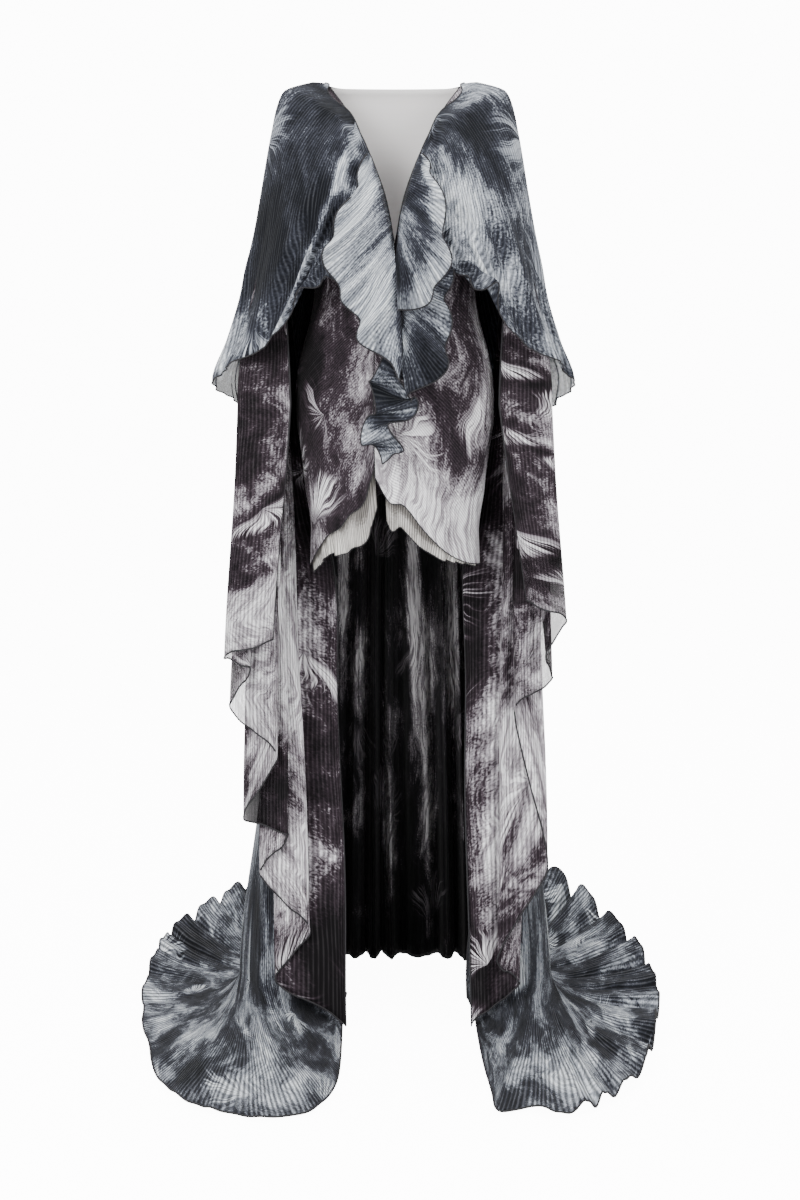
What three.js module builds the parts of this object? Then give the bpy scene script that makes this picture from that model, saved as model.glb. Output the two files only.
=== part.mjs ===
// A floor-length evening dress in crinkled chiffon, worn form, hollow, no wearer.
// Millimetres, +Z up, front faces -Y. The origin is between the shoulders, where
// the wearer holds it, and the floor is at z = -floorDrop.
import * as THREE from 'three';

// Driving dimensions
const floorDrop = 1500;
const dressWall = 1.2;
const drapeWall = 1.2;
const trimWall = 1.0;
const seamGap = 0.3;
const shoulderSeamGap = 1.5;
const wrapLift = 2.6;
const armholeScoop = 24;
const hemHalfWidth = 135;
const neckDrop = 2;
const backNeckDip = 6;
const shoulderDrop = 34;
const underarmDrop = 140;
const vDepth = 249;
const waistDrop = 330;
const armDrop = 110;
const armInnerX = 181;
const armOuterX = 186;

// Horizontal sections of the fitted dress: half width, depth before and behind its middle
const bodySections = [
  { z: -2, halfWidth: 107, front: 6, back: 43, middle: 30 },
  { z: -14, halfWidth: 138, front: 20, back: 52, middle: 30 },
  { z: -34, halfWidth: 167, front: 40, back: 59, middle: 28 },
  { z: -80, halfWidth: 172, front: 70, back: 70, middle: 24 },
  { z: -140, halfWidth: 165, front: 97, back: 80, middle: 15 },
  { z: -200, halfWidth: 158, front: 112, back: 88, middle: 7 },
  { z: -249, halfWidth: 146, front: 106, back: 88, middle: 6 },
  { z: -310, halfWidth: 127, front: 92, back: 80, middle: 8 },
  { z: -364, halfWidth: 132, front: 93, back: 86, middle: 9 },
  { z: -416, halfWidth: 147, front: 101, back: 99, middle: 11 },
  { z: -490, halfWidth: 157, front: 108, back: 112, middle: 12 },
  { z: -573, halfWidth: 150, front: 105, back: 111, middle: 12 },
  { z: -627, halfWidth: 142, front: 100, back: 104, middle: 10 },
  { z: -699, halfWidth: 134, front: 95, back: 98, middle: 8 },
  { z: -765, halfWidth: 135, front: 93, back: 95, middle: 6 },
];

// The same for the loose shell of the capelet and its flounces
const capeSections = [
  { z: -1, halfWidth: 118, front: 8, back: 48, middle: 28 },
  { z: -3, halfWidth: 142, front: 14, back: 54, middle: 27 },
  { z: -14, halfWidth: 168, front: 32, back: 66, middle: 26 },
  { z: -38, halfWidth: 184, front: 55, back: 79, middle: 22 },
  { z: -81, halfWidth: 194, front: 86, back: 94, middle: 19 },
  { z: -120, halfWidth: 200, front: 106, back: 108, middle: 15 },
  { z: -182, halfWidth: 208, front: 127, back: 128, middle: 12 },
  { z: -236, halfWidth: 215, front: 134, back: 144, middle: 10 },
  { z: -283, halfWidth: 223, front: 134, back: 154, middle: 10 },
  { z: -337, halfWidth: 231, front: 134, back: 164, middle: 10 },
  { z: -400, halfWidth: 250, front: 134, back: 176, middle: 10 },
  { z: -460, halfWidth: 274, front: 134, back: 186, middle: 10 },
  { z: -520, halfWidth: 270, front: 132, back: 192, middle: 10 },
  { z: -600, halfWidth: 268, front: 128, back: 194, middle: 10 },
];

// Half the width of the plunging neck at each level
const neckEdge = [
  { z: -2, x: 106 },
  { z: -6, x: 102 },
  { z: -40, x: 77 },
  { z: -86, x: 51 },
  { z: -131, x: 31 },
  { z: -184, x: 13 },
  { z: -249, x: 0.8 },
];

// Tulip hem of each front panel, by distance from the centre front
const hemRight = [
  { x: -30, z: -606 },
  { x: -9, z: -648 },
  { x: 13, z: -654 },
  { x: 44, z: -693 },
  { x: 78, z: -727 },
  { x: 109, z: -746 },
  { x: 136, z: -754 },
];
const hemLeft = [
  { x: -20, z: -572 },
  { x: 26, z: -590 },
  { x: 46, z: -648 },
  { x: 71, z: -671 },
  { x: 85, z: -690 },
  { x: 108, z: -706 },
  { x: 122, z: -728 },
  { x: 136, z: -758 },
];

const hemBack = [
  { x: 0, z: -640 },
  { x: 50, z: -668 },
  { x: 100, z: -722 },
  { x: 136, z: -756 },
];

// Capelet: each ray of cloth runs from the neck line to the hem, as angle and level
const capeletRays = [
  { u: 0.0, neckAngle: 2, neckZ: -244, hemAngle: 20, hemLeftZ: -306, hemRightZ: -282 },
  { u: 0.1, neckAngle: 5, neckZ: -184, hemAngle: 30, hemLeftZ: -315, hemRightZ: -316 },
  { u: 0.2, neckAngle: 11, neckZ: -131, hemAngle: 39, hemLeftZ: -332, hemRightZ: -330 },
  { u: 0.3, neckAngle: 17, neckZ: -86, hemAngle: 47, hemLeftZ: -388, hemRightZ: -386 },
  { u: 0.4, neckAngle: 27, neckZ: -40, hemAngle: 60, hemLeftZ: -424, hemRightZ: -420 },
  { u: 0.5, neckAngle: 58, neckZ: -7, hemAngle: 82, hemLeftZ: -446, hemRightZ: -446 },
  { u: 0.6, neckAngle: 90, neckZ: -1, hemAngle: 104, hemLeftZ: -488, hemRightZ: -488 },
  { u: 0.7, neckAngle: 112, neckZ: -4, hemAngle: 122, hemLeftZ: -514, hemRightZ: -514 },
  { u: 0.8, neckAngle: 135, neckZ: -7, hemAngle: 141, hemLeftZ: -488, hemRightZ: -488 },
  { u: 0.9, neckAngle: 158, neckZ: -8, hemAngle: 161, hemLeftZ: -458, hemRightZ: -458 },
  { u: 1.0, neckAngle: 180, neckZ: -8, hemAngle: 180, hemLeftZ: -446, hemRightZ: -446 },
];
const capeletFolds = 8;
const capeletFoldDepth = 6;
const capeletOffset = 1.7;

// Flounces and cascade tiers: distance off the dress where sewn, lift in front of the capelet's
// shell at the free edge, and the number and height of their waves
const flounceOffset = 3.1;
const tierOffset = 1.6;
const flounceLeftFit = { offset: flounceOffset, lift: 24, waves: 5, height: 7 };
const flounceRightFit = { offset: flounceOffset, lift: 24, waves: 4, height: 7 };
const jabotRightFit = { offset: tierOffset, lift: 13, waves: 3, height: 4 };
const jabotTailFit = { offset: tierOffset, lift: 3, waves: 3, height: 3 };

// Their sewn edge and free edge across the front
const flounceLeftEdges = [
  { u: 0.0, sewnX: 39, sewnZ: -112, freeX: 42, freeZ: -118 },
  { u: 0.15, sewnX: 31, sewnZ: -131, freeX: 67, freeZ: -179 },
  { u: 0.3, sewnX: 18, sewnZ: -170, freeX: 98, freeZ: -238 },
  { u: 0.45, sewnX: 9, sewnZ: -205, freeX: 103, freeZ: -284 },
  { u: 0.6, sewnX: 3, sewnZ: -238, freeX: 78, freeZ: -340 },
  { u: 0.75, sewnX: 2, sewnZ: -275, freeX: 62, freeZ: -378 },
  { u: 0.88, sewnX: 2, sewnZ: -310, freeX: 36, freeZ: -410 },
  { u: 1.0, sewnX: 2, sewnZ: -340, freeX: 2, freeZ: -436 },
];
const flounceRightEdges = [
  { u: 0.0, sewnX: 37, sewnZ: -115, freeX: 41, freeZ: -118 },
  { u: 0.2, sewnX: 26, sewnZ: -145, freeX: 62, freeZ: -152 },
  { u: 0.4, sewnX: 15, sewnZ: -180, freeX: 79, freeZ: -240 },
  { u: 0.6, sewnX: 8, sewnZ: -212, freeX: 76, freeZ: -298 },
  { u: 0.8, sewnX: 4, sewnZ: -238, freeX: 46, freeZ: -340 },
  { u: 1.0, sewnX: 2, sewnZ: -262, freeX: 2, freeZ: -354 },
];
const jabotRightEdges = [
  { u: 0.0, sewnX: 24, sewnZ: -284, freeX: 86, freeZ: -292 },
  { u: 0.3, sewnX: 16, sewnZ: -316, freeX: 80, freeZ: -345 },
  { u: 0.55, sewnX: 12, sewnZ: -345, freeX: 83, freeZ: -410 },
  { u: 0.8, sewnX: 8, sewnZ: -375, freeX: 62, freeZ: -456 },
  { u: 1.0, sewnX: 6, sewnZ: -400, freeX: 16, freeZ: -486 },
];
const jabotTailEdges = [
  { u: 0.0, sewnX: -32, sewnZ: -402, freeX: 16, freeZ: -402 },
  { u: 0.2, sewnX: -26, sewnZ: -436, freeX: 22, freeZ: -440 },
  { u: 0.4, sewnX: -33, sewnZ: -474, freeX: 26, freeZ: -474 },
  { u: 0.6, sewnX: -45, sewnZ: -508, freeX: 34, freeZ: -502 },
  { u: 0.8, sewnX: -38, sewnZ: -542, freeX: 14, freeZ: -536 },
  { u: 1.0, sewnX: -22, sewnZ: -574, freeX: -4, freeZ: -580 },
];

// Side drapes: where the cloth turns, from the front edge back to the inner edge.
// Distance from the centre at the shoulder, at the hips and at the hem, and the hem's level.
const drapeTurnsLeft = [
  { topX: 168, hipX: 164, hemX: 192, hemZ: -868 },
  { topX: 178.4, hipX: 247, hemX: 269, hemZ: -897 },
  { topX: 168, hipX: 204, hemX: 228, hemZ: -918 },
  { topX: 178.4, hipX: 244, hemX: 262, hemZ: -978 },
  { topX: 168, hipX: 190, hemX: 186, hemZ: -1060 },
  { topX: 178.4, hipX: 238, hemX: 241, hemZ: -1160 },
  { topX: 168, hipX: 180, hemX: 170, hemZ: -1190 },
  { topX: 178.4, hipX: 230, hemX: 216, hemZ: -1250 },
  { topX: 168, hipX: 172, hemX: 135, hemZ: -1344 },
  { topX: 178.4, hipX: 218, hemX: 191, hemZ: -1420 },
  { topX: 168, hipX: 152, hemX: 78, hemZ: -1494 },
];
const drapeTurnsRight = [
  { topX: 168, hipX: 164, hemX: 206, hemZ: -806 },
  { topX: 178.4, hipX: 247, hemX: 270, hemZ: -838 },
  { topX: 168, hipX: 206, hemX: 238, hemZ: -900 },
  { topX: 178.4, hipX: 244, hemX: 250, hemZ: -936 },
  { topX: 168, hipX: 190, hemX: 190, hemZ: -985 },
  { topX: 178.4, hipX: 226, hemX: 245, hemZ: -1236 },
  { topX: 168, hipX: 175, hemX: 165, hemZ: -1392 },
  { topX: 178.4, hipX: 218, hemX: 201, hemZ: -1425 },
  { topX: 168, hipX: 154, hemX: 124, hemZ: -1494 },
];
// Depth of a side drape's front and back folds, and how far its inner edge stands from the centre
const drapeDepths = [
  { z: -46, front: 9, back: 36 },
  { z: -120, front: -14, back: 52 },
  { z: -250, front: -34, back: 72 },
  { z: -500, front: -38, back: 90 },
  { z: -765, front: -52, back: 84 },
  { z: -900, front: -62, back: 66 },
  { z: -1200, front: -86, back: 16 },
  { z: -1500, front: -104, back: -62 },
];
const innerEdge = [
  { z: -46, left: 168, right: 168 },
  { z: -110, left: 181, right: 181 },
  { z: -250, left: 176, right: 176 },
  { z: -500, left: 152, right: 154 },
  { z: -680, left: 126, right: 130 },
  { z: -765, left: 101, right: 111 },
  { z: -970, left: 93, right: 114 },
  { z: -1280, left: 82, right: 116 },
  { z: -1500, left: 77, right: 124 },
];

// Back panel and the seam it shares with the train
const backSections = [
  { z: -70, halfWidth: 112, y: 93.6, wave: 0 },
  { z: -160, halfWidth: 122, y: 108, wave: 3 },
  { z: -330, halfWidth: 132, y: 118, wave: 6 },
  { z: -490, halfWidth: 142, y: 142, wave: 8 },
  { z: -765, halfWidth: 152, y: 178, wave: 13 },
  { z: -1100, halfWidth: 166, y: 232, wave: 18 },
  { z: -1400, halfWidth: 182, y: 300, wave: 24 },
  { z: -1480, halfWidth: 184, y: 340, wave: 22 },
  { z: -1493, halfWidth: 184, y: 372, wave: 20 },
];
const backTop = backSections[0].z;
const backLow = backSections[backSections.length - 1].z;
const backFolds = 9;
const bodyGap = 30;

// Trains: outline on the floor from the front edge round to the back seam, lift of its flutes
const trainTop = -480;
const trainOutlineLeft = [
  { u: 0.0, x: 82, y: 10, lift: 2 },
  { u: 0.03, x: 88, y: -180, lift: 2 },
  { u: 0.06, x: 89, y: -350, lift: 3 },
  { u: 0.1, x: 108, y: -462, lift: 5 },
  { u: 0.16, x: 172, y: -524, lift: 6 },
  { u: 0.22, x: 238, y: -500, lift: 6 },
  { u: 0.28, x: 290, y: -462, lift: 8 },
  { u: 0.35, x: 350, y: -350, lift: 8 },
  { u: 0.42, x: 394, y: -115, lift: 10 },
  { u: 0.48, x: 413, y: 30, lift: 14 },
  { u: 0.54, x: 421, y: 150, lift: 22 },
  { u: 0.63, x: 418, y: 345, lift: 40 },
  { u: 0.71, x: 402, y: 450, lift: 50 },
  { u: 0.8, x: 360, y: 590, lift: 60 },
  { u: 0.88, x: 318, y: 710, lift: 66 },
  { u: 0.95, x: 272, y: 800, lift: 60 },
  { u: 1.0, x: 214, y: 640, lift: 24 },
];
const trainOutlineRight = [
  { u: 0.0, x: 130, y: 10, lift: 2 },
  { u: 0.03, x: 136, y: -160, lift: 2 },
  { u: 0.06, x: 142, y: -330, lift: 3 },
  { u: 0.1, x: 146, y: -490, lift: 6 },
  { u: 0.15, x: 190, y: -484, lift: 12 },
  { u: 0.2, x: 236, y: -512, lift: 14 },
  { u: 0.26, x: 278, y: -486, lift: 18 },
  { u: 0.32, x: 303, y: -461, lift: 22 },
  { u: 0.38, x: 337, y: -403, lift: 24 },
  { u: 0.45, x: 378, y: -300, lift: 28 },
  { u: 0.52, x: 406, y: -150, lift: 34 },
  { u: 0.59, x: 428, y: 10, lift: 40 },
  { u: 0.66, x: 433, y: 130, lift: 46 },
  { u: 0.73, x: 424, y: 270, lift: 54 },
  { u: 0.8, x: 404, y: 400, lift: 60 },
  { u: 0.87, x: 372, y: 610, lift: 66 },
  { u: 0.93, x: 335, y: 740, lift: 70 },
  { u: 0.97, x: 298, y: 820, lift: 62 },
  { u: 1.0, x: 214, y: 640, lift: 24 },
];
const trainFlutes = 14;
const footRing = { x: 186, y: 84, radiusX: 37.8, radiusY: 50.4, z: -1440 };

const slate = 0x6f7680;
const plum = 0x4a4049;
const dark = 0x242226;
const nude = 0xd3ccc6;
const pale = 0xb9b6b1;

const degrees = Math.PI / 180;

function mix(a, b, t) {
  return a + (b - a) * t;
}

function ease(t) {
  const c = Math.min(1, Math.max(0, t));
  return c * c * (3 - 2 * c);
}

// Smooth reading of one column of a table, along its key column
function read(table, key, column, at) {
  const rising = table[table.length - 1][key] > table[0][key];
  const rows = rising ? table : [...table].reverse();
  if (at <= rows[0][key]) {
    return rows[0][column];
  }
  if (at >= rows[rows.length - 1][key]) {
    return rows[rows.length - 1][column];
  }
  let i = 0;
  while (rows[i + 1][key] < at) {
    i += 1;
  }
  const slope = (k) => {
    const a = rows[Math.max(0, k - 1)];
    const b = rows[Math.min(rows.length - 1, k + 1)];
    return (b[column] - a[column]) / (b[key] - a[key]);
  };
  const span = rows[i + 1][key] - rows[i][key];
  const t = (at - rows[i][key]) / span;
  const t2 = t * t;
  const t3 = t2 * t;
  return (2 * t3 - 3 * t2 + 1) * rows[i][column]
    + (t3 - 2 * t2 + t) * span * slope(i)
    + (3 * t2 - 2 * t3) * rows[i + 1][column]
    + (t3 - t2) * span * slope(i + 1);
}

// Point on a sectioned form: angle 0 is the centre front, 90 the side, 180 the centre back
function onForm(sections, angle, z, out = 0) {
  const s = Math.sin(angle * degrees);
  const c = Math.cos(angle * degrees);
  const halfWidth = read(sections, 'z', 'halfWidth', z);
  const middle = read(sections, 'z', 'middle', z);
  const depth = read(sections, 'z', c > 0 ? 'front' : 'back', z);
  return new THREE.Vector3(halfWidth * s + out * s, middle - depth * c - out * c, z);
}

function angleOn(sections, x, z) {
  const halfWidth = read(sections, 'z', 'halfWidth', z);
  return Math.asin(Math.min(1, Math.max(-1, x / halfWidth))) / degrees;
}

// A cloth wall of even thickness round a grid of points, with stitched rims
function clothWall(name, colour, point, columns, rows, thickness) {
  const grid = [];
  for (let j = 0; j <= rows; j += 1) {
    for (let i = 0; i <= columns; i += 1) {
      grid.push(point(i / columns, j / rows));
    }
  }
  const stride = columns + 1;
  const at = (i, j) => grid[Math.min(rows, Math.max(0, j)) * stride + Math.min(columns, Math.max(0, i))];
  const outer = [];
  const inner = [];
  for (let j = 0; j <= rows; j += 1) {
    for (let i = 0; i <= columns; i += 1) {
      const here = at(i, j);
      const across = at(i + 1, j).clone().sub(at(i - 1, j));
      const down = at(i, j + 1).clone().sub(at(i, j - 1));
      const normal = across.cross(down).normalize();
      outer.push(here.clone().addScaledVector(normal, thickness / 2));
      inner.push(here.clone().addScaledVector(normal, -thickness / 2));
    }
  }
  const points = [...outer, ...inner];
  const shift = outer.length;
  const faces = [];
  for (let j = 0; j < rows; j += 1) {
    for (let i = 0; i < columns; i += 1) {
      const a = j * stride + i;
      const b = a + 1;
      const c = a + stride;
      const d = c + 1;
      faces.push(a, c, b, b, c, d);
      faces.push(a + shift, b + shift, c + shift, b + shift, d + shift, c + shift);
    }
  }
  const rim = [];
  for (let i = 0; i < columns; i += 1) {
    rim.push([i, i + 1]);
    rim.push([rows * stride + i + 1, rows * stride + i]);
  }
  for (let j = 0; j < rows; j += 1) {
    rim.push([(j + 1) * stride, j * stride]);
    rim.push([j * stride + columns, (j + 1) * stride + columns]);
  }
  for (const [a, b] of rim) {
    faces.push(a, b, a + shift, b, b + shift, a + shift);
  }
  const volume = signedVolume(points, faces);
  if (volume < 0) {
    for (let k = 0; k < faces.length; k += 3) {
      [faces[k], faces[k + 1]] = [faces[k + 1], faces[k]];
    }
  }
  const geometry = new THREE.BufferGeometry();
  const places = points.flatMap((p) => [p.x, p.y, p.z]);
  geometry.setAttribute('position', new THREE.Float32BufferAttribute(places, 3));
  geometry.setIndex(faces);
  geometry.computeVertexNormals();
  const cloth = new THREE.MeshStandardMaterial({ color: colour, roughness: 0.8, metalness: 0 });
  const mesh = new THREE.Mesh(geometry, cloth);
  mesh.name = name;
  return mesh;
}

function signedVolume(points, faces) {
  let total = 0;
  for (let k = 0; k < faces.length; k += 3) {
    const a = points[faces[k]];
    const b = points[faces[k + 1]];
    const c = points[faces[k + 2]];
    total += a.dot(b.clone().cross(c)) / 6;
  }
  return total;
}

// Half a seam's gap: wider over the shoulder, where the two walls meet at an angle
function halfSeam(z) {
  return mix(shoulderSeamGap / 2, seamGap, ease((-z - shoulderDrop) / (underarmDrop - shoulderDrop)));
}

// How far cloth stands out to pass over the wrap, below the point of the V
function overWrap(z) {
  const start = vDepth - 7;
  const run = 20;
  return wrapLift * ease((-z - start) / run);
}

// Front panel of the fitted dress. side is -1 on the left, 1 on the right.
// The right panel lies over the left one as far out as lapReach, in degrees.
function frontPanel(name, side, colour) {
  const armholeRow = 0.24;
  const neckRow = 0.42;
  const hem = side > 0 ? hemRight : hemLeft;
  const lapAngle = side > 0 ? -12 : -9;
  const lapReach = 42;
  const lapFade = 20;
  const point = (u, v) => {
    let innerZ;
    let outerZ;
    let innerAngle;
    let outerAngle = 90;
    if (v < armholeRow) {
      const t = v / armholeRow;
      innerZ = mix(-neckDrop, -underarmDrop, t);
      outerZ = mix(-shoulderDrop, -underarmDrop, t);
      outerAngle = 90 - armholeScoop * Math.sin(Math.PI * t);
    } else {
      const t = Math.min(1, (v - armholeRow) / (neckRow - armholeRow));
      innerZ = mix(-underarmDrop, -vDepth, t);
      outerZ = innerZ;
    }
    innerAngle = v === 0 ? 90 : angleOn(bodySections, read(neckEdge, 'z', 'x', innerZ), innerZ);
    let z = mix(innerZ, outerZ, u);
    if (v > neckRow) {
      const t = (v - neckRow) / (1 - neckRow);
      innerAngle = mix(innerAngle, lapAngle, ease(t * 4));
      const angle = mix(innerAngle, 90, u);
      const hemX = hemHalfWidth * Math.sin(angle * degrees);
      z = mix(-vDepth, read(hem, 'x', 'z', hemX), t);
    }
    const angle = mix(innerAngle, outerAngle, u);
    const lap = side > 0 ? overWrap(z) * ease((lapReach - angle) / lapFade) : 0;
    const p = onForm(bodySections, angle, z, lap);
    p.x *= side;
    p.y -= halfSeam(z);
    return p;
  };
  return clothWall(name, colour, point, 9, 18, dressWall);
}

// Upper back: from the straight neck edge and the shoulders to the waist seam
function bodiceBack(name, colour) {
  const armholeRow = 0.45;
  const neckShare = 0.6;
  const backScoop = 22;
  const point = (u, v) => {
    const c = 2 * u - 1;
    const w = Math.abs(c);
    const shoulder = Math.max(0, w - neckShare) / (1 - neckShare);
    const topAngle = 180 - 90 * Math.min(1, w / neckShare);
    const dip = backNeckDip * ease((neckShare - w) / 0.1);
    const topZ = mix(-neckDrop - dip, -shoulderDrop, shoulder);
    const levelAngle = 180 - 90 * w;
    let angle = levelAngle;
    let z = mix(-underarmDrop, -waistDrop + seamGap / 2, (v - armholeRow) / (1 - armholeRow));
    if (v < armholeRow) {
      const t = v / armholeRow;
      angle = mix(topAngle, levelAngle, t) + backScoop * Math.sin(Math.PI * t) * shoulder;
      z = mix(topZ, -underarmDrop, t);
    }
    const p = onForm(bodySections, angle, z);
    p.x *= Math.sign(c) || 1;
    p.y += halfSeam(z);
    return p;
  };
  return clothWall(name, colour, point, 20, 9, dressWall);
}

function dressBack(name, colour) {
  const point = (u, v) => {
    const angle = mix(-90, -270, u);
    const hemX = hemHalfWidth * Math.abs(Math.sin(angle * degrees));
    const z = mix(-waistDrop - seamGap / 2, read(hemBack, 'x', 'z', hemX), v);
    const p = onForm(bodySections, angle, z);
    p.y += halfSeam(z);
    return p;
  };
  return clothWall(name, colour, point, 18, 9, dressWall);
}

// Pale frill sewn just inside a tulip hem
function hemFrill(name, side, colour) {
  const waves = 7;
  const waveHeight = 6;
  const hem = side > 0 ? hemRight : hemLeft;
  const startAngle = side > 0 ? -6 : 13;
  const endAngle = 84;
  const startDepth = side > 0 ? 42 : 62;
  const endDepth = side > 0 ? 2 : 12;
  const shrink = side > 0 ? 1.4 : 1.1;
  const sewnIn = 1.8;
  const sewnUp = 14;
  const flareIn = 8;
  const point = (u, v) => {
    const angle = mix(startAngle, endAngle, u);
    const hemX = hemHalfWidth * Math.sin(angle * degrees);
    const hemZ = read(hem, 'x', 'z', hemX);
    const depth = mix(startDepth, endDepth, ease(u * shrink));
    const z = mix(hemZ + sewnUp, hemZ - depth, v);
    const out = -sewnIn - v * (flareIn + waveHeight * Math.cos(2 * Math.PI * waves * u));
    const p = onForm(bodySections, angle, z, out);
    p.x *= side;
    p.y -= halfSeam(z);
    return p;
  };
  return clothWall(name, colour, point, 28, 2, trimWall);
}

// Half of the capelet: rays of cloth from the neck line over the shoulder to the hem
function capelet(name, side, colour) {
  const hemColumn = side > 0 ? 'hemRightZ' : 'hemLeftZ';
  const foldStart = 0.08;
  const overSeam = 1.6;
  const frontSwell = 0.3;
  const shoulderSwell = 0.04;
  const point = (u, v) => {
    const neckAngle = read(capeletRays, 'u', 'neckAngle', u);
    const neckZ = read(capeletRays, 'u', 'neckZ', u);
    const hemAngle = read(capeletRays, 'u', 'hemAngle', u);
    const hemZ = read(capeletRays, 'u', hemColumn, u);
    const down = Math.pow(v, 1.6);
    const angle = mix(neckAngle, hemAngle, down);
    const z = mix(neckZ, hemZ, down);
    const grown = ease((down - foldStart) * 1.3);
    const fold = (1 - Math.cos(2 * Math.PI * capeletFolds * u)) * capeletFoldDepth * grown;
    const near = onForm(bodySections, angle, z, capeletOffset);
    near.y += angle > 90 ? halfSeam(z) : -halfSeam(z);
    near.z += overSeam * Math.sin(angle * degrees) ** 2;
    const far = onForm(capeSections, angle, z, fold);
    const swell = mix(frontSwell, shoulderSwell, ease((u - 0.2) / 0.2));
    const p = near.lerp(far, ease(down / swell));
    p.x = side * Math.max(p.x, trimWall / 2 + seamGap);
    return p;
  };
  return clothWall(name, colour, point, 32, 9, trimWall);
}

// A flounce or cascade tier lying over the front, waved more towards its free edge.
// It is sewn along its first edge, or across its top where sewnAcross is true.
function frontTier(name, side, edges, fit, columns, sewnAcross) {
  const sewnShare = 0.2;
  const hingeShare = 0.06;
  const point = (u, v) => {
    const across = sewnAcross ? v : Math.pow(v, 1.5);
    const x = mix(read(edges, 'u', 'sewnX', u), read(edges, 'u', 'freeX', u), across) * side;
    const z = mix(read(edges, 'u', 'sewnZ', u), read(edges, 'u', 'freeZ', u), across);
    const wave = across * fit.height * (1 + Math.cos(2 * Math.PI * fit.waves * u));
    const far = onForm(capeSections, angleOn(capeSections, x, z), z);
    far.y -= fit.lift + wave;
    const near = onForm(bodySections, angleOn(bodySections, x, z), z, fit.offset + overWrap(z));
    near.y -= halfSeam(z);
    return near.lerp(far, ease(sewnAcross ? u / sewnShare : across / hingeShare));
  };
  return clothWall(name, slate, point, columns, 4, trimWall);
}

// Long side drape, pleated to and fro, with a hem that climbs from the inner edge to the front
function sideDrape(name, side, turns, colour) {
  const topZ = drapeDepths[0].z;
  const hipZ = -500;
  const last = turns.length - 1;
  const innerColumn = side > 0 ? 'right' : 'left';
  const turnX = (k, z) => {
    const turn = turns[k];
    if (k === last) {
      return read(innerEdge, 'z', innerColumn, z);
    }
    const armX = k % 2 === 0 ? armInnerX : armOuterX;
    if (z > -armDrop) {
      return mix(turn.topX, armX, ease((topZ - z) / (topZ + armDrop)));
    }
    if (z > hipZ) {
      return mix(armX, turn.hipX, ease((-armDrop - z) / (-armDrop - hipZ)));
    }
    return mix(turn.hipX, turn.hemX, Math.min(1, (hipZ - z) / (hipZ - turn.hemZ)));
  };
  const point = (u, v) => {
    const along = u * last;
    const k = Math.min(last - 1, Math.floor(along));
    const t = along - k;
    const round = (1 - Math.cos(Math.PI * t)) / 2;
    const z = mix(topZ, mix(turns[k].hemZ, turns[k + 1].hemZ, t), v);
    const x = mix(turnX(k, z), turnX(k + 1, z), round);
    const y = mix(read(drapeDepths, 'z', 'front', z), read(drapeDepths, 'z', 'back', z), u);
    return new THREE.Vector3(side * x, y, z);
  };
  return clothWall(name, colour, point, last * 3, 12, drapeWall);
}

// The back panel lies close to the body at its top and hangs free from the waist down
function backPoint(u, z) {
  const sewnOut = 2.5;
  const standOff = 12;
  const bowDepth = 14;
  const closeRun = 180;
  const freeStart = 220;
  const freeRun = 240;
  const bowRun = 400;
  const c = 2 * u - 1;
  const x = c * read(backSections, 'z', 'halfWidth', z);
  const onBack = onForm(bodySections, 180 - angleOn(bodySections, Math.abs(x), z), z, sewnOut);
  const close = onBack.y + halfSeam(z) + standOff * ease((backTop - z) / closeRun);
  const bow = bowDepth * (1 - c * c) * ease((-z - freeStart - bodyGap) / bowRun);
  const flat = read(backSections, 'z', 'y', z) + bow;
  const y = mix(close, flat, ease((-z - freeStart) / freeRun));
  const wave = read(backSections, 'z', 'wave', z) * Math.cos(2 * Math.PI * backFolds * u);
  return new THREE.Vector3(x, y + wave, z);
}

function backPanel(name, colour) {
  const point = (u, v) => backPoint(u, mix(backTop, backLow, v));
  return clothWall(name, colour, point, 36, 10, drapeWall);
}

// Train: hangs from the back seam behind the side drape and fans out over the floor
function train(name, side, outline, colour) {
  const footRow = 0.5;
  const floorZ = -floorDrop + drapeWall;
  const seamOut = 1.7;
  const outerTop = { x: 226, y: 112 };
  const gather = 4;
  const gatherWaves = 4;
  const settle = 6;
  const creep = 1.25;
  const point = (u, v) => {
    const ring = mix(-78, 100, u) * degrees;
    const foot = new THREE.Vector3(
      footRing.x + footRing.radiusX * Math.cos(ring),
      footRing.y + footRing.radiusY * Math.sin(ring),
      footRing.z,
    );
    const hemX = read(outline, 'u', 'x', u);
    const hemY = read(outline, 'u', 'y', u);
    const lift = read(outline, 'u', 'lift', u);
    const flute = 0.5 - 0.5 * Math.cos(2 * Math.PI * trainFlutes * u);
    if (v < footRow) {
      const t = v / footRow;
      const z = mix(trainTop, footRing.z, t);
      const seam = backPoint(1, z);
      const topX = mix(outerTop.x, seam.x + seamOut, u);
      const gathered = gather * Math.sin(2 * Math.PI * gatherWaves * u) * t * (1 - u);
      const topY = mix(outerTop.y, seam.y, u) + gathered;
      const drawn = ease(t) * (1 - u ** 4);
      return new THREE.Vector3(side * mix(topX, foot.x, drawn), mix(topY, foot.y, drawn), z);
    }
    const start = point(u, footRow - 1e-9);
    const t = (v - footRow) / (1 - footRow);
    const z = floorZ + (footRing.z - floorZ) * Math.exp(-settle * t) + lift * flute * t * t + 3 * (1 - t);
    const reach = Math.pow(t, creep);
    return new THREE.Vector3(mix(start.x, side * hemX, reach), mix(start.y, hemY, reach), z);
  };
  return clothWall(name, colour, point, 42, 12, drapeWall);
}

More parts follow.
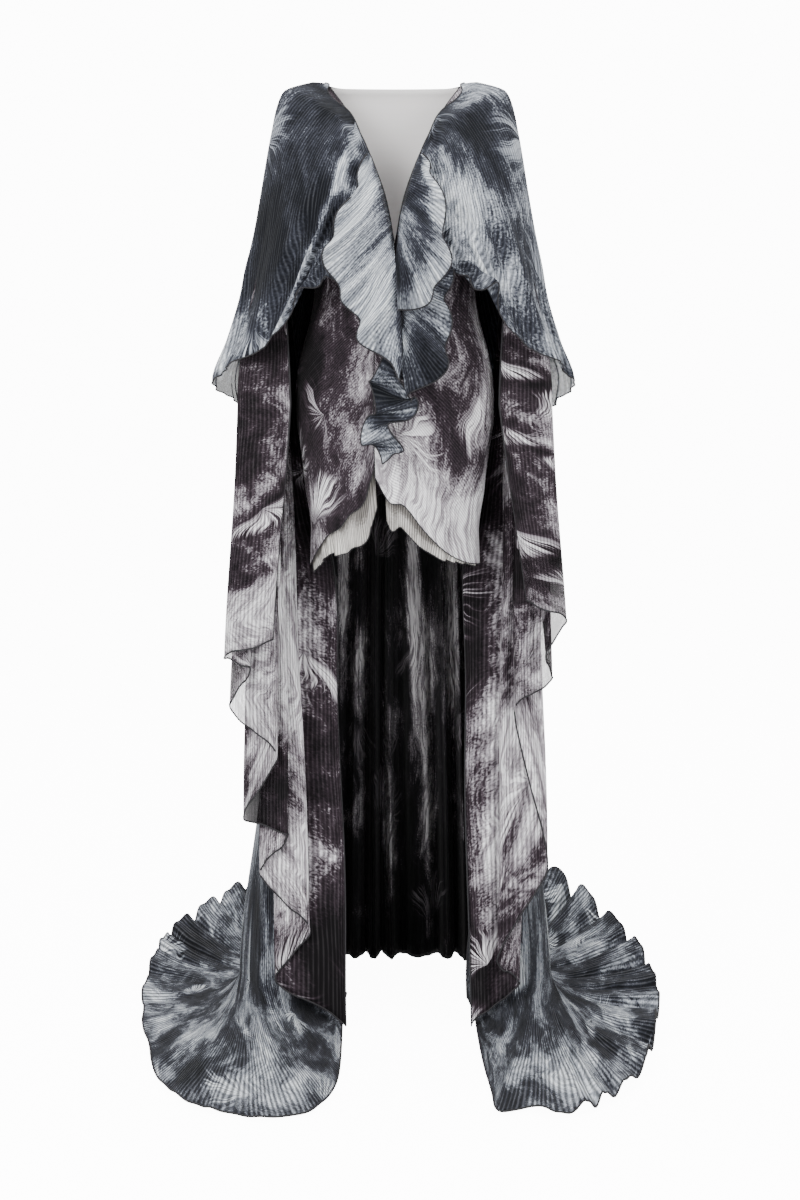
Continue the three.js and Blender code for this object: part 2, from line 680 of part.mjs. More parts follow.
const dress = new THREE.Group();
dress.name = 'maxi_dress';
dress.add(bodiceBack('bodice_back', nude));
dress.add(frontPanel('dress_front_left', -1, plum));
dress.add(frontPanel('dress_front_right', 1, plum));
dress.add(dressBack('dress_back', plum));
dress.add(hemFrill('frill_left', -1, pale));
dress.add(hemFrill('frill_right', 1, pale));
dress.add(capelet('capelet_left', -1, slate));
dress.add(capelet('capelet_right', 1, slate));
dress.add(frontTier('flounce_left', -1, flounceLeftEdges, flounceLeftFit, 24, false));
dress.add(frontTier('flounce_right', 1, flounceRightEdges, flounceRightFit, 20, false));
dress.add(frontTier('jabot_right', 1, jabotRightEdges, jabotRightFit, 16, false));
dress.add(frontTier('jabot_tail', 1, jabotTailEdges, jabotTailFit, 16, true));
dress.add(sideDrape('side_drape_left', -1, drapeTurnsLeft, plum));
dress.add(sideDrape('side_drape_right', 1, drapeTurnsRight, plum));
dress.add(backPanel('back_panel', dark));
dress.add(train('train_left', -1, trainOutlineLeft, slate));
dress.add(train('train_right', 1, trainOutlineRight, slate));

export default dress;
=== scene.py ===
import math

import bmesh
import bpy
import numpy as np
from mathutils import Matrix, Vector


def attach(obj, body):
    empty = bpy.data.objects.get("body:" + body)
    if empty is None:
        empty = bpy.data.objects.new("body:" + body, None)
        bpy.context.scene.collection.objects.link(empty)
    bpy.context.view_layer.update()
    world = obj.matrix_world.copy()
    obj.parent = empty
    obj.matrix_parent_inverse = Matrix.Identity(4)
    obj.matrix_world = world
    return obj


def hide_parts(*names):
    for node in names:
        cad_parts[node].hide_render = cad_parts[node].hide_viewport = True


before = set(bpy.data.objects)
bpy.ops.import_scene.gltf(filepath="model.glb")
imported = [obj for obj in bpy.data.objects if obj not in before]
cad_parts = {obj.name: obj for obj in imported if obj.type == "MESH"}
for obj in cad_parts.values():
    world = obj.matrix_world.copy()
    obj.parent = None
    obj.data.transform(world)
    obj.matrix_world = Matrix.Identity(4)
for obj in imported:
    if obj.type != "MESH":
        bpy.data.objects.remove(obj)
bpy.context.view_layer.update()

mm = 0.001
floorDrop = 1500.0
wave = 2 * math.pi
# Heights that several pieces share, in mm
neckTopZ, armTopZ, underarmZ, neckPointZ, waistZ = -2.0, -34.0, -140.0, -249.0, -330.0

# Horizontal sections of the fitted dress and of the loose shell over it, in mm
bodySections = [
    {"z": -2, "halfWidth": 107, "front": 6, "back": 43, "middle": 30},
    {"z": -14, "halfWidth": 138, "front": 20, "back": 52, "middle": 30},
    {"z": -34, "halfWidth": 167, "front": 40, "back": 59, "middle": 28},
    {"z": -80, "halfWidth": 172, "front": 70, "back": 70, "middle": 24},
    {"z": -140, "halfWidth": 165, "front": 97, "back": 80, "middle": 15},
    {"z": -200, "halfWidth": 158, "front": 112, "back": 88, "middle": 7},
    {"z": -249, "halfWidth": 146, "front": 106, "back": 88, "middle": 6},
    {"z": -310, "halfWidth": 127, "front": 92, "back": 80, "middle": 8},
    {"z": -364, "halfWidth": 132, "front": 93, "back": 86, "middle": 9},
    {"z": -416, "halfWidth": 147, "front": 101, "back": 99, "middle": 11},
    {"z": -490, "halfWidth": 157, "front": 108, "back": 112, "middle": 12},
    {"z": -573, "halfWidth": 150, "front": 105, "back": 111, "middle": 12},
    {"z": -627, "halfWidth": 142, "front": 100, "back": 104, "middle": 10},
    {"z": -699, "halfWidth": 134, "front": 95, "back": 98, "middle": 8},
    {"z": -765, "halfWidth": 135, "front": 93, "back": 95, "middle": 6},
]
capeSections = [
    {"z": -1, "halfWidth": 118, "front": 8, "back": 48, "middle": 28},
    {"z": -3, "halfWidth": 142, "front": 14, "back": 54, "middle": 27},
    {"z": -14, "halfWidth": 168, "front": 32, "back": 66, "middle": 26},
    {"z": -38, "halfWidth": 184, "front": 55, "back": 79, "middle": 22},
    {"z": -81, "halfWidth": 194, "front": 86, "back": 94, "middle": 19},
    {"z": -120, "halfWidth": 200, "front": 106, "back": 108, "middle": 15},
    {"z": -182, "halfWidth": 208, "front": 127, "back": 128, "middle": 12},
    {"z": -236, "halfWidth": 215, "front": 134, "back": 144, "middle": 10},
    {"z": -283, "halfWidth": 223, "front": 134, "back": 154, "middle": 10},
    {"z": -337, "halfWidth": 231, "front": 134, "back": 164, "middle": 10},
    {"z": -400, "halfWidth": 250, "front": 134, "back": 176, "middle": 10},
    {"z": -460, "halfWidth": 274, "front": 134, "back": 186, "middle": 10},
    {"z": -520, "halfWidth": 270, "front": 132, "back": 192, "middle": 10},
    {"z": -600, "halfWidth": 268, "front": 128, "back": 194, "middle": 10},
]


def mix(a, b, t):
    return a + (b - a) * t


def ease(t):
    c = np.clip(t, 0.0, 1.0)
    return c * c * (3 - 2 * c)


def bump(at, centre, width):
    return np.exp(-((at - centre) / width) ** 2)


# Smooth reading of one column of a table, along its key column
def read(table, key, column, at):
    rows = sorted(table, key=lambda row: row[key])
    keys = np.array([row[key] for row in rows], float)
    values = np.array([row[column] for row in rows], float)
    before = np.maximum(np.arange(len(rows)) - 1, 0)
    after = np.minimum(np.arange(len(rows)) + 1, len(rows) - 1)
    slopes = (values[after] - values[before]) / (keys[after] - keys[before])
    i = np.clip(np.searchsorted(keys, at) - 1, 0, len(rows) - 2)
    span = keys[i + 1] - keys[i]
    t = np.clip((at - keys[i]) / span, 0.0, 1.0)
    t2, t3 = t * t, t * t * t
    start = (2 * t3 - 3 * t2 + 1) * values[i] + (t3 - 2 * t2 + t) * span * slopes[i]
    return start + (3 * t2 - 2 * t3) * values[i + 1] + (t3 - t2) * span * slopes[i + 1]


# Angle 0 is the centre front, 90 the side, 180 the centre back
def onForm(sections, angle, z, out=0.0):
    s, c = np.sin(np.radians(angle)), np.cos(np.radians(angle))
    halfWidth = read(sections, "z", "halfWidth", z)
    middle = read(sections, "z", "middle", z)
    depth = np.where(c > 0, read(sections, "z", "front", z), read(sections, "z", "back", z))
    return (halfWidth + out) * s, middle - (depth + out) * c, z + 0.0 * s


def angleOn(sections, x, z):
    return np.degrees(np.arcsin(np.clip(x / read(sections, "z", "halfWidth", z), -1, 1)))


seamGap = {"shoulder": 0.75, "below": 0.3, "reach": 106, "waist": 0.15}
wrapSetup = {"lap": 2.6, "topZ": -242, "reach": 20, "width": 42}
hemHalfWidth = 135


# Half the gap between the front and back pieces
def halfSeam(z):
    return mix(seamGap["shoulder"], seamGap["below"], ease((armTopZ - z) / seamGap["reach"]))


# How far the right front stands out where it laps over the left
def wrapLap(z):
    return wrapSetup["lap"] * ease((wrapSetup["topZ"] - z) / wrapSetup["reach"])


# A named socket of a node group
def addSocket(group, name, kind, direction, value=None):
    socket = group.interface.new_socket(name=name, in_out=direction, socket_type=kind)
    if value is not None:
        socket.default_value = value
    return socket


def link(tree, source, target):
    tree.links.new(source, target)


def feed(tree, socket, value):
    if isinstance(value, (int, float, tuple)):
        socket.default_value = value
    elif value is not None:
        link(tree, value, socket)


def mathNode(tree, operation, first, second=None):
    node = tree.nodes.new("ShaderNodeMath")
    node.operation = operation
    feed(tree, node.inputs[0], first)
    feed(tree, node.inputs[1], second)
    return node.outputs[0]


def vectorNode(tree, operation, first, second=None):
    node = tree.nodes.new("ShaderNodeVectorMath")
    node.operation = operation
    feed(tree, node.inputs[0], first)
    feed(tree, node.inputs[1], second)
    return node.outputs["Value"] if operation == "LENGTH" else node.outputs["Vector"]


def split(tree, vector):
    node = tree.nodes.new("ShaderNodeSeparateXYZ")
    link(tree, vector, node.inputs[0])
    return node.outputs["X"], node.outputs["Y"]


def noiseNode(tree, vector, scale, detail=2.0, roughness=0.5):
    node = tree.nodes.new("ShaderNodeTexNoise")
    node.inputs["Scale"].default_value = scale
    node.inputs["Detail"].default_value = detail
    node.inputs["Roughness"].default_value = roughness
    link(tree, vector, node.inputs["Vector"])
    return node


def stretched(tree, vector, scale, turn=0.0):
    node = tree.nodes.new("ShaderNodeMapping")
    node.inputs["Scale"].default_value = scale
    node.inputs["Rotation"].default_value = (0, 0, turn)
    link(tree, vector, node.inputs["Vector"])
    return node.outputs["Vector"]


def rangeNode(tree, value, low, high, toLow=0.0, toHigh=1.0):
    node = tree.nodes.new("ShaderNodeMapRange")
    node.interpolation_type = "SMOOTHSTEP"
    for name, number in (("From Min", low), ("From Max", high), ("To Min", toLow), ("To Max", toHigh)):
        node.inputs[name].default_value = number
    link(tree, value, node.inputs["Value"])
    return node.outputs["Result"]


def mixColour(tree, amount, first, second):
    node = tree.nodes.new("ShaderNodeMix")
    node.data_type = "RGBA"
    feed(tree, node.inputs[0], amount)
    feed(tree, node.inputs[6], first)
    feed(tree, node.inputs[7], second)
    return node.outputs[2]


# A noise about zero, scaled to the part that it plays in a sum
def sway(tree, value, amount):
    return mathNode(tree, "MULTIPLY", mathNode(tree, "SUBTRACT", value, 0.5), amount)


printSetup = {
    "driftScale": 5.0, "drift": 0.15,
    "patchScale": 6.6, "patchStretch": (1.0, 0.65, 1.0), "patchShare": 1.35,
    "brushStretch": (46, 13, 1), "brushTurn": 0.3, "brushShare": 0.4,
    "grainScale": 330.0, "grainShare": 0.3, "toneShare": 0.2, "darkEnd": -0.2, "lightEnd": 0.3,
    "fibreStretch": (130, 12, 1), "fibreTurn": -0.5, "fibreDark": 0.62,
    "sprayScale": 5.2, "sprayBorder": 0.14, "sprayShort": 0.06, "sprayLong": 0.15, "sprayRoot": 0.035,
    "quillsAround": 11.0, "quillsAlong": 5.0, "quillsApart": 9.0,
}


# Smoke, brushed wisps and grass-plume sprays, all in one dark-to-light mask, shifted by each piece's tone,
# which on some pieces holds painted shade and painted highlights
def smokePrintGroup():
    group = bpy.data.node_groups.new("smokePrint", "ShaderNodeTree")
    addSocket(group, "Vector", "NodeSocketVector", "INPUT")
    addSocket(group, "Tone", "NodeSocketFloat", "INPUT", 0.0)
    addSocket(group, "Spray", "NodeSocketFloat", "INPUT", 0.8)
    addSocket(group, "Mask", "NodeSocketFloat", "OUTPUT")
    given = group.nodes.new("NodeGroupInput")
    result = group.nodes.new("NodeGroupOutput")
    vector = given.outputs["Vector"]

    drift = noiseNode(group, vector, printSetup["driftScale"], 3.0).outputs["Color"]
    drift = vectorNode(group, "SUBTRACT", drift, (0.5, 0.5, 0.5))
    drift = vectorNode(group, "MULTIPLY", drift, (printSetup["drift"],) * 3)
    warped = vectorNode(group, "ADD", vector, drift)
    broad = stretched(group, warped, printSetup["patchStretch"])
    patches = noiseNode(group, broad, printSetup["patchScale"], 8.0, 0.64).outputs["Fac"]
    swept = stretched(group, warped, printSetup["brushStretch"], printSetup["brushTurn"])
    brushed = noiseNode(group, swept, 1.0, 6.0, 0.7).outputs["Fac"]
    grain = noiseNode(group, vector, printSetup["grainScale"], 1.0, 0.5).outputs["Fac"]
    # The tone shifts the print lighter or darker; on some pieces it is painted shade and painted light
    tone = mathNode(group, "MULTIPLY", given.outputs["Tone"], printSetup["toneShare"])
    level = mathNode(group, "ADD", sway(group, patches, printSetup["patchShare"]),
                     sway(group, brushed, printSetup["brushShare"]))
    level = mathNode(group, "ADD", level, sway(group, grain, printSetup["grainShare"]))
    level = mathNode(group, "ADD", level, tone)
    smoke = rangeNode(group, level, printSetup["darkEnd"], printSetup["lightEnd"])
    combed = stretched(group, warped, printSetup["fibreStretch"], printSetup["fibreTurn"])
    fibres = noiseNode(group, combed, 1.0, 4.0, 0.7).outputs["Fac"]
    fibres = rangeNode(group, fibres, 0.36, 0.6, printSetup["fibreDark"], 1.0)
    smoke = mathNode(group, "MULTIPLY", smoke, fibres)

    # Each cell holds one spray, which fans out from its middle and fades before the border
    cells = group.nodes.new("ShaderNodeTexVoronoi")
    cells.inputs["Scale"].default_value = printSetup["sprayScale"]
    link(group, vector, cells.inputs["Vector"])
    borders = group.nodes.new("ShaderNodeTexVoronoi")
    borders.feature = "DISTANCE_TO_EDGE"
    borders.inputs["Scale"].default_value = printSetup["sprayScale"]
    link(group, vector, borders.inputs["Vector"])
    apart = rangeNode(group, borders.outputs["Distance"], 0.0, printSetup["sprayBorder"])
    fromRoot = vectorNode(group, "SUBTRACT", warped, cells.outputs["Position"])
    acrossRoot, alongRoot = split(group, fromRoot)
    turnRandom, strokeRandom = split(group, cells.outputs["Color"])
    bearing = mathNode(group, "ARCTAN2", alongRoot, acrossRoot)
    turned = mathNode(group, "ADD", bearing, mathNode(group, "MULTIPLY", turnRandom, wave))
    reach = vectorNode(group, "LENGTH", fromRoot)
    strokes = group.nodes.new("ShaderNodeCombineXYZ")
    for axis, value, scale in (("X", turned, "quillsAround"), ("Y", reach, "quillsAlong"),
                               ("Z", strokeRandom, "quillsApart")):
        link(group, mathNode(group, "MULTIPLY", value, printSetup[scale]), strokes.inputs[axis])
    quills = noiseNode(group, strokes.outputs[0], 1.0, 4.0, 0.7).outputs["Fac"]
    length = rangeNode(group, quills, 0.35, 0.65, printSetup["sprayShort"], printSetup["sprayLong"])
    plume = rangeNode(group, mathNode(group, "DIVIDE", reach, length), 1.05, 0.35)
    fan = rangeNode(group, mathNode(group, "COSINE", turned), -0.1, 0.6)
    hairs = rangeNode(group, quills, 0.38, 0.58, 0.3, 1.0)
    root = rangeNode(group, reach, 0.0, printSetup["sprayRoot"], 0.3, 1.0)
    spray = plume
    for share in (fan, hairs, apart, root, given.outputs["Spray"]):
        spray = mathNode(group, "MULTIPLY", spray, share)
    link(group, mathNode(group, "MAXIMUM", smoke, spray), result.inputs["Mask"])
    return group


plisseSetup = {
    "wanderStretch": (9, 2.5, 1), "wander": 5.0,
    "unevenStretch": (170, 16, 1), "uneven": 0.9, "ridge": 0.36,
}


# Permanent crinkle pleats: fine uneven ridges along the cloth
def plisseGroup():
    group = bpy.data.node_groups.new("plisse", "ShaderNodeTree")
    addSocket(group, "Vector", "NodeSocketVector", "INPUT")
    addSocket(group, "Pitch", "NodeSocketFloat", "INPUT", 0.005)
    addSocket(group, "Ridge", "NodeSocketFloat", "OUTPUT")
    given = group.nodes.new("NodeGroupInput")
    result = group.nodes.new("NodeGroupOutput")
    vector = given.outputs["Vector"]
    slow = stretched(group, vector, plisseSetup["wanderStretch"])
    wander = noiseNode(group, slow, 1.0, 2.0).outputs["Fac"]
    quick = stretched(group, vector, plisseSetup["unevenStretch"])
    uneven = noiseNode(group, quick, 1.0, 2.0, 0.6).outputs["Fac"]
    across = split(group, vector)[0]
    turns = mathNode(group, "ADD", mathNode(group, "DIVIDE", across, given.outputs["Pitch"]),
                     mathNode(group, "MULTIPLY", wander, plisseSetup["wander"]))
    ridge = mathNode(group, "SINE", mathNode(group, "MULTIPLY", turns, wave))
    ridge = mathNode(group, "ADD", mathNode(group, "MULTIPLY", ridge, plisseSetup["ridge"]), 0.5)
    ridge = mathNode(group, "ADD", ridge, sway(group, uneven, plisseSetup["uneven"]))
    link(group, ridge, result.inputs["Ridge"])
    return group


smokePrint = smokePrintGroup()
plisse = plisseGroup()

chiffonSetup = {"seeThrough": 0.6, "roughness": 0.8, "specular": 0.12, "sheen": 0.03, "pleatHeight": 0.35}


# One printed, crinkled chiffon in its own colours and pleat pitch, with painted shade in the pleat hollows
# and painted highlights on the pleat crests
def chiffon(name, finish):
    material = bpy.data.materials.new(name)
    material.use_nodes = True
    tree = material.node_tree
    shader = tree.nodes["Principled BSDF"]
    uv = tree.nodes.new("ShaderNodeUVMap")
    uv.uv_map = "cloth"
    tone = tree.nodes.new("ShaderNodeAttribute")
    tone.attribute_name = "tone"
    sheer = tree.nodes.new("ShaderNodeAttribute")
    sheer.attribute_name = "sheer"

    printed = tree.nodes.new("ShaderNodeGroup")
    printed.node_tree = smokePrint
    printed.inputs["Spray"].default_value = finish["spray"]
    link(tree, uv.outputs["UV"], printed.inputs["Vector"])
    link(tree, tone.outputs["Fac"], printed.inputs["Tone"])
    ramp = tree.nodes.new("ShaderNodeValToRGB")
    ramp.color_ramp.elements[0].color = finish["dark"]
    ramp.color_ramp.elements[1].color = finish["pale"]
    for position, colour in ((0.35, finish["deep"]), (0.7, finish["light"])):
        ramp.color_ramp.elements.new(position).color = colour
    link(tree, printed.outputs["Mask"], ramp.inputs["Fac"])

    pleats = tree.nodes.new("ShaderNodeGroup")
    pleats.node_tree = plisse
    pleats.inputs["Pitch"].default_value = finish["pitch"]
    link(tree, stretched(tree, uv.outputs["UV"], (1, 1, 1), finish["pleatTurn"]), pleats.inputs["Vector"])
    ridge = pleats.outputs["Ridge"]
    # Painted shade and light of the pleats: the colour is darkened in the hollows and lightened on the
    # ridges, and the crests get a painted highlight
    lines = rangeNode(tree, ridge, 0.15, 0.85, 1 - finish["line"], 1 + 0.45 * finish["line"])
    paintedCrests = rangeNode(tree, ridge, 0.6, 1.0, 0.0, finish["crestHighlight"])
    lined = vectorNode(tree, "ADD", vectorNode(tree, "MULTIPLY", ramp.outputs["Color"], lines), paintedCrests)
    link(tree, lined, shader.inputs["Base Color"])
    relief = tree.nodes.new("ShaderNodeBump")
    relief.inputs["Strength"].default_value = finish["relief"]
    relief.inputs["Distance"].default_value = finish["pitch"] * chiffonSetup["pleatHeight"]
    link(tree, ridge, relief.inputs["Height"])
    link(tree, relief.outputs["Normal"], shader.inputs["Normal"])
    clear = mathNode(tree, "MULTIPLY", sheer.outputs["Fac"], chiffonSetup["seeThrough"])
    link(tree, mathNode(tree, "SUBTRACT", 1.0, clear), shader.inputs["Alpha"])
    shader.inputs["Roughness"].default_value = chiffonSetup["roughness"]
    shader.inputs["Specular IOR Level"].default_value = chiffonSetup["specular"]
    shader.inputs["Sheen Weight"].default_value = chiffonSetup["sheen"]
    return material


slateFinish = {
    "dark": (0.004, 0.005, 0.008, 1), "deep": (0.034, 0.037, 0.050, 1),
    "light": (0.33, 0.355, 0.40, 1), "pale": (0.80, 0.84, 0.87, 1),
    "pitch": 0.0052, "pleatTurn": 0.0, "line": 0.45, "relief": 0.5, "spray": 0.8, "crestHighlight": 0.02,
}
plumFinish = {
    "dark": (0.003, 0.002, 0.003, 1), "deep": (0.036, 0.025, 0.033, 1),
    "light": (0.36, 0.33, 0.36, 1), "pale": (0.93, 0.92, 0.94, 1),
    "pitch": 0.0044, "pleatTurn": 0.0, "line": 0.42, "relief": 0.5, "spray": 0.95, "crestHighlight": 0.015,
}
skirtFinish = dict(plumFinish, pleatTurn=1.1, line=0.35, relief=0.4, spray=1.0, crestHighlight=0.012)
trainFinish = dict(slateFinish, pitch=0.0072, line=0.65, relief=0.8, spray=1.0, crestHighlight=0.045)
# The back panel's chiffon in painted shade: its colours are made much darker, since the panel hangs inside
# the dress in shadow
innerPaintedShadeFinish = {
    "dark": (0.0015, 0.0015, 0.002, 1), "deep": (0.006, 0.005, 0.007, 1),
    "light": (0.11, 0.10, 0.11, 1), "pale": (0.45, 0.44, 0.45, 1),
    "pitch": 0.0050, "pleatTurn": 0.0, "line": 0.5, "relief": 0.4, "spray": 0.7, "crestHighlight": 0.006,
}
frillFinish = {
    "dark": (0.16, 0.15, 0.14, 1), "deep": (0.42, 0.40, 0.38, 1),
    "light": (0.55, 0.53, 0.50, 1), "pale": (0.72, 0.70, 0.66, 1),
    "pitch": 0.0045, "pleatTurn": 0.0, "line": 0.5, "relief": 0.5, "spray": 0.0, "crestHighlight": 0.0,
}
slateChiffon = chiffon("slateChiffon", slateFinish)
plumChiffon = chiffon("plumChiffon", plumFinish)
trainChiffon = chiffon("trainChiffon", trainFinish)
skirtChiffon = chiffon("skirtChiffon", skirtFinish)
innerPaintedShadeChiffon = chiffon("innerPaintedShadeChiffon", innerPaintedShadeFinish)
frillChiffon = chiffon("frillChiffon", frillFinish)


# A plain material with a soft grain, for the net yoke and for the hem thread
def grainCloth(name, first, second, grainScale, grainStretch):
    material = bpy.data.materials.new(name)
    material.use_nodes = True
    tree = material.node_tree
    shader = tree.nodes["Principled BSDF"]
    place = tree.nodes.new("ShaderNodeTexCoord")
    drawn = stretched(tree, place.outputs["Object"], grainStretch)
    grain = noiseNode(tree, drawn, grainScale, 3.0).outputs["Fac"]
    link(tree, mixColour(tree, grain, first, second), shader.inputs["Base Color"])
    relief = tree.nodes.new("ShaderNodeBump")
    relief.inputs["Strength"].default_value = 0.2
    relief.inputs["Distance"].default_value = 0.0005
    link(tree, grain, relief.inputs["Height"])
    link(tree, relief.outputs["Normal"], shader.inputs["Normal"])
    shader.inputs["Roughness"].default_value = 0.75
    return material


nudeMesh = grainCloth("nudeMesh", (0.92, 0.885, 0.87, 1), (0.98, 0.965, 0.955, 1), 9.0, (1, 1, 14))
hemThread = grainCloth("hemThread", (0.004, 0.004, 0.005, 1), (0.020, 0.018, 0.022, 1), 420.0, (1, 1, 1))
print("materials made")


# A sheet of cloth: an even grid whose points go where shape() says. Its UV is the flat cut,
# unless the setup lays the print in its own way
def clothSheet(name, shape, setup, material, node):
    bm = bmesh.new()
    bmesh.ops.create_grid(bm, x_segments=setup["columns"], y_segments=setup["rows"], size=0.5)
    across = np.array([vert.co.x + 0.5 for vert in bm.verts])
    along = np.array([0.5 - vert.co.y for vert in bm.verts])
    x, y, z = shape(across, along)
    for vert, place in zip(bm.verts, np.stack([x, y, z], axis=1) * mm):
        vert.co = place
    mesh = bpy.data.meshes.new(name)
    bm.to_mesh(mesh)
    bm.free()
    corners = np.empty(len(mesh.loops), dtype=np.int32)
    mesh.loops.foreach_get("vertex_index", corners)
    width, length = setup["cut"]
    shiftX, shiftY = setup["printShift"]
    layU, layV = setup["lay"](x, y, across, along) if "lay" in setup else (across * width, along * length)
    flat = np.stack([layU + shiftX, layV + shiftY], axis=1)[corners]
    mesh.uv_layers.new(name="cloth").data.foreach_set("uv", flat.ravel())
    for key in ("tone", "sheer"):
        layer = mesh.attributes.new(key, "FLOAT", "POINT")
        values = setup[key](across, along, z) if key in setup else np.zeros(len(across))
        layer.data.foreach_set("value", values + 0.0 * across)
    mesh.polygons.foreach_set("use_smooth", [True] * len(mesh.polygons))
    mesh.materials.append(material)
    piece = bpy.data.objects.new(name, mesh)
    bpy.context.scene.collection.objects.link(piece)
    wall = piece.modifiers.new("wall", "SOLIDIFY")
    wall.thickness = setup["wall"]
    wall.offset = 0.0
    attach(piece, "root")
    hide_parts(node)
    for index, (fixed, value) in enumerate(setup["hems"]):
        hemCord(f"{name}_hem_{index}", shape, fixed, value, setup)


# A rolled hem along one edge of a sheet: fixed is "across" or "along", at value
def hemCord(name, shape, fixed, value, setup):
    steps = setup["columns"] if fixed == "along" else setup["rows"]
    run = np.linspace(0.0, 1.0, steps + 1)
    still = np.full(steps + 1, float(value))
    x, y, z = shape(run, still) if fixed == "along" else shape(still, run)
    curve = bpy.data.curves.new(name, "CURVE")
    curve.dimensions = "3D"
    curve.bevel_depth = setup.get("hemRadius", 0.0010)
    curve.bevel_resolution = 1
    curve.use_fill_caps = True
    spline = curve.splines.new("POLY")
    spline.points.add(steps)
    for point, place in zip(spline.points, np.stack([x, y, z], axis=1) * mm):
        point.co = (*place, 1.0)
    cord = bpy.data.objects.new(name, curve)
    bpy.context.scene.collection.objects.link(cord)
    bpy.context.view_layer.update()
    mesh = bpy.data.meshes.new_from_object(cord)
    bpy.data.objects.remove(cord)
    bpy.data.curves.remove(curve)
    mesh.name = name
    mesh.polygons.foreach_set("use_smooth", [True] * len(mesh.polygons))
    mesh.materials.clear()
    mesh.materials.append(hemThread)
    hem = bpy.data.objects.new(name, mesh)
    bpy.context.scene.collection.objects.link(hem)
    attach(hem, "root")
    return hem


neckEdge = [
    {"z": -2, "x": 106}, {"z": -6, "x": 102}, {"z": -40, "x": 77}, {"z": -86, "x": 51},
    {"z": -131, "x": 31}, {"z": -184, "x": 13}, {"z": -249, "x": 0.8},
]
hemRight = [
    {"x": -30, "z": -606}, {"x": -9, "z": -648}, {"x": 13, "z": -654}, {"x": 44, "z": -693},
    {"x": 78, "z": -727}, {"x": 109, "z": -746}, {"x": 136, "z": -754},
]
hemLeft = [
    {"x": -20, "z": -572}, {"x": 26, "z": -590}, {"x": 46, "z": -648}, {"x": 71, "z": -671},
    {"x": 85, "z": -690}, {"x": 108, "z": -706}, {"x": 122, "z": -728}, {"x": 136, "z": -758},
]
hemBack = [
    {"x": 0, "z": -640}, {"x": 50, "z": -668}, {"x": 100, "z": -722}, {"x": 136, "z": -756},
]

dragSetup = {
    "front": 0.5, "back": 0.4, "bottomZ": -760.0, "fadeTop": 80, "fadeBottom": 60,
    "slant": 1.1, "pitch": 15.0, "height": 1.4, "crossSlant": 0.7, "crossPitch": 23.0, "crossHeight": 0.9,
}


# Drag lines of a fitted skirt: soft slanting hollows from the hip to the wrap
def dragLines(angle, z):
    drag = dragSetup
    fade = ease((waistZ - z) / drag["fadeTop"]) * ease((z - drag["bottomZ"]) / drag["fadeBottom"])
    main = drag["height"] * np.sin((z + drag["slant"] * angle) / drag["pitch"])
    cross = drag["crossHeight"] * np.sin((z - drag["crossSlant"] * angle) / drag["crossPitch"] + 1.0)
    return fade * (main + cross)


# A front panel from the neck edge and the wrap to the side seam
def frontShape(side):
    hem = hemRight if side > 0 else hemLeft
    lapAngle = -12 if side > 0 else -9
    armholeRow, neckRow, armholeScoop = 0.24, 0.42, 24

    def shape(u, v):
        upper = np.clip(v / armholeRow, 0, 1)
        lower = np.clip((v - armholeRow) / (neckRow - armholeRow), 0, 1)
        skirt = np.clip((v - neckRow) / (1 - neckRow), 0, 1)
        innerZ = np.where(v < armholeRow, mix(neckTopZ, underarmZ, upper), mix(underarmZ, neckPointZ, lower))
        outerZ = np.where(v < armholeRow, mix(armTopZ, underarmZ, upper), innerZ)
        outerAngle = 90 - armholeScoop * np.sin(np.pi * upper) * (v < armholeRow)
        innerAngle = angleOn(bodySections, read(neckEdge, "z", "x", innerZ), innerZ)
        innerAngle = mix(innerAngle, lapAngle, ease(skirt * 4))
        angle = mix(innerAngle, outerAngle, u)
        hemX = hemHalfWidth * np.sin(np.radians(angle))
        z = np.where(v > neckRow, mix(neckPointZ, read(hem, "x", "z", hemX), skirt), mix(innerZ, outerZ, u))
        lap = wrapLap(z) * ease((wrapSetup["width"] - angle) / 20) if side > 0 else 0.0
        x, y, z = onForm(bodySections, angle, z, lap + dragLines(angle * side, z) * dragSetup["front"])
        return x * side, y - halfSeam(z), z

    return shape


# The back yoke: its top edge is straight at the neck and falls to the armholes
def yokeShape(u, v):
    armholeRow, armholeScoop = 0.45, 22
    c = 2 * u - 1
    w = np.abs(c)
    t = np.clip(v / armholeRow, 0, 1)
    outer = np.maximum(0, w - 0.6) / 0.4
    topAngle = np.where(w < 0.6, 180 - 90 * (w / 0.6), 90.0)
    topZ = mix(neckTopZ - 4.0 * ease((0.6 - w) / 0.1), armTopZ, outer)
    levelAngle = 180 - 90 * w
    angle = mix(topAngle, levelAngle, t) + armholeScoop * np.sin(np.pi * t) * outer * (v < armholeRow)
    below = (v - armholeRow) / (1 - armholeRow)
    z = np.where(v < armholeRow, mix(topZ, underarmZ, t), mix(underarmZ, waistZ + seamGap["waist"], below))
    x, y, z = onForm(bodySections, angle, z)
    return x * np.where(c < 0, -1, 1), y + halfSeam(z), z


def backShape(u, v):
    angle = mix(-90.0, -270.0, u)
    hemX = hemHalfWidth * np.abs(np.sin(np.radians(angle)))
    z = mix(waistZ - seamGap["waist"], read(hemBack, "x", "z", hemX), v)
    x, y, z = onForm(bodySections, angle, z, dragLines(angle, z) * dragSetup["back"])
    return x, y + halfSeam(z), z


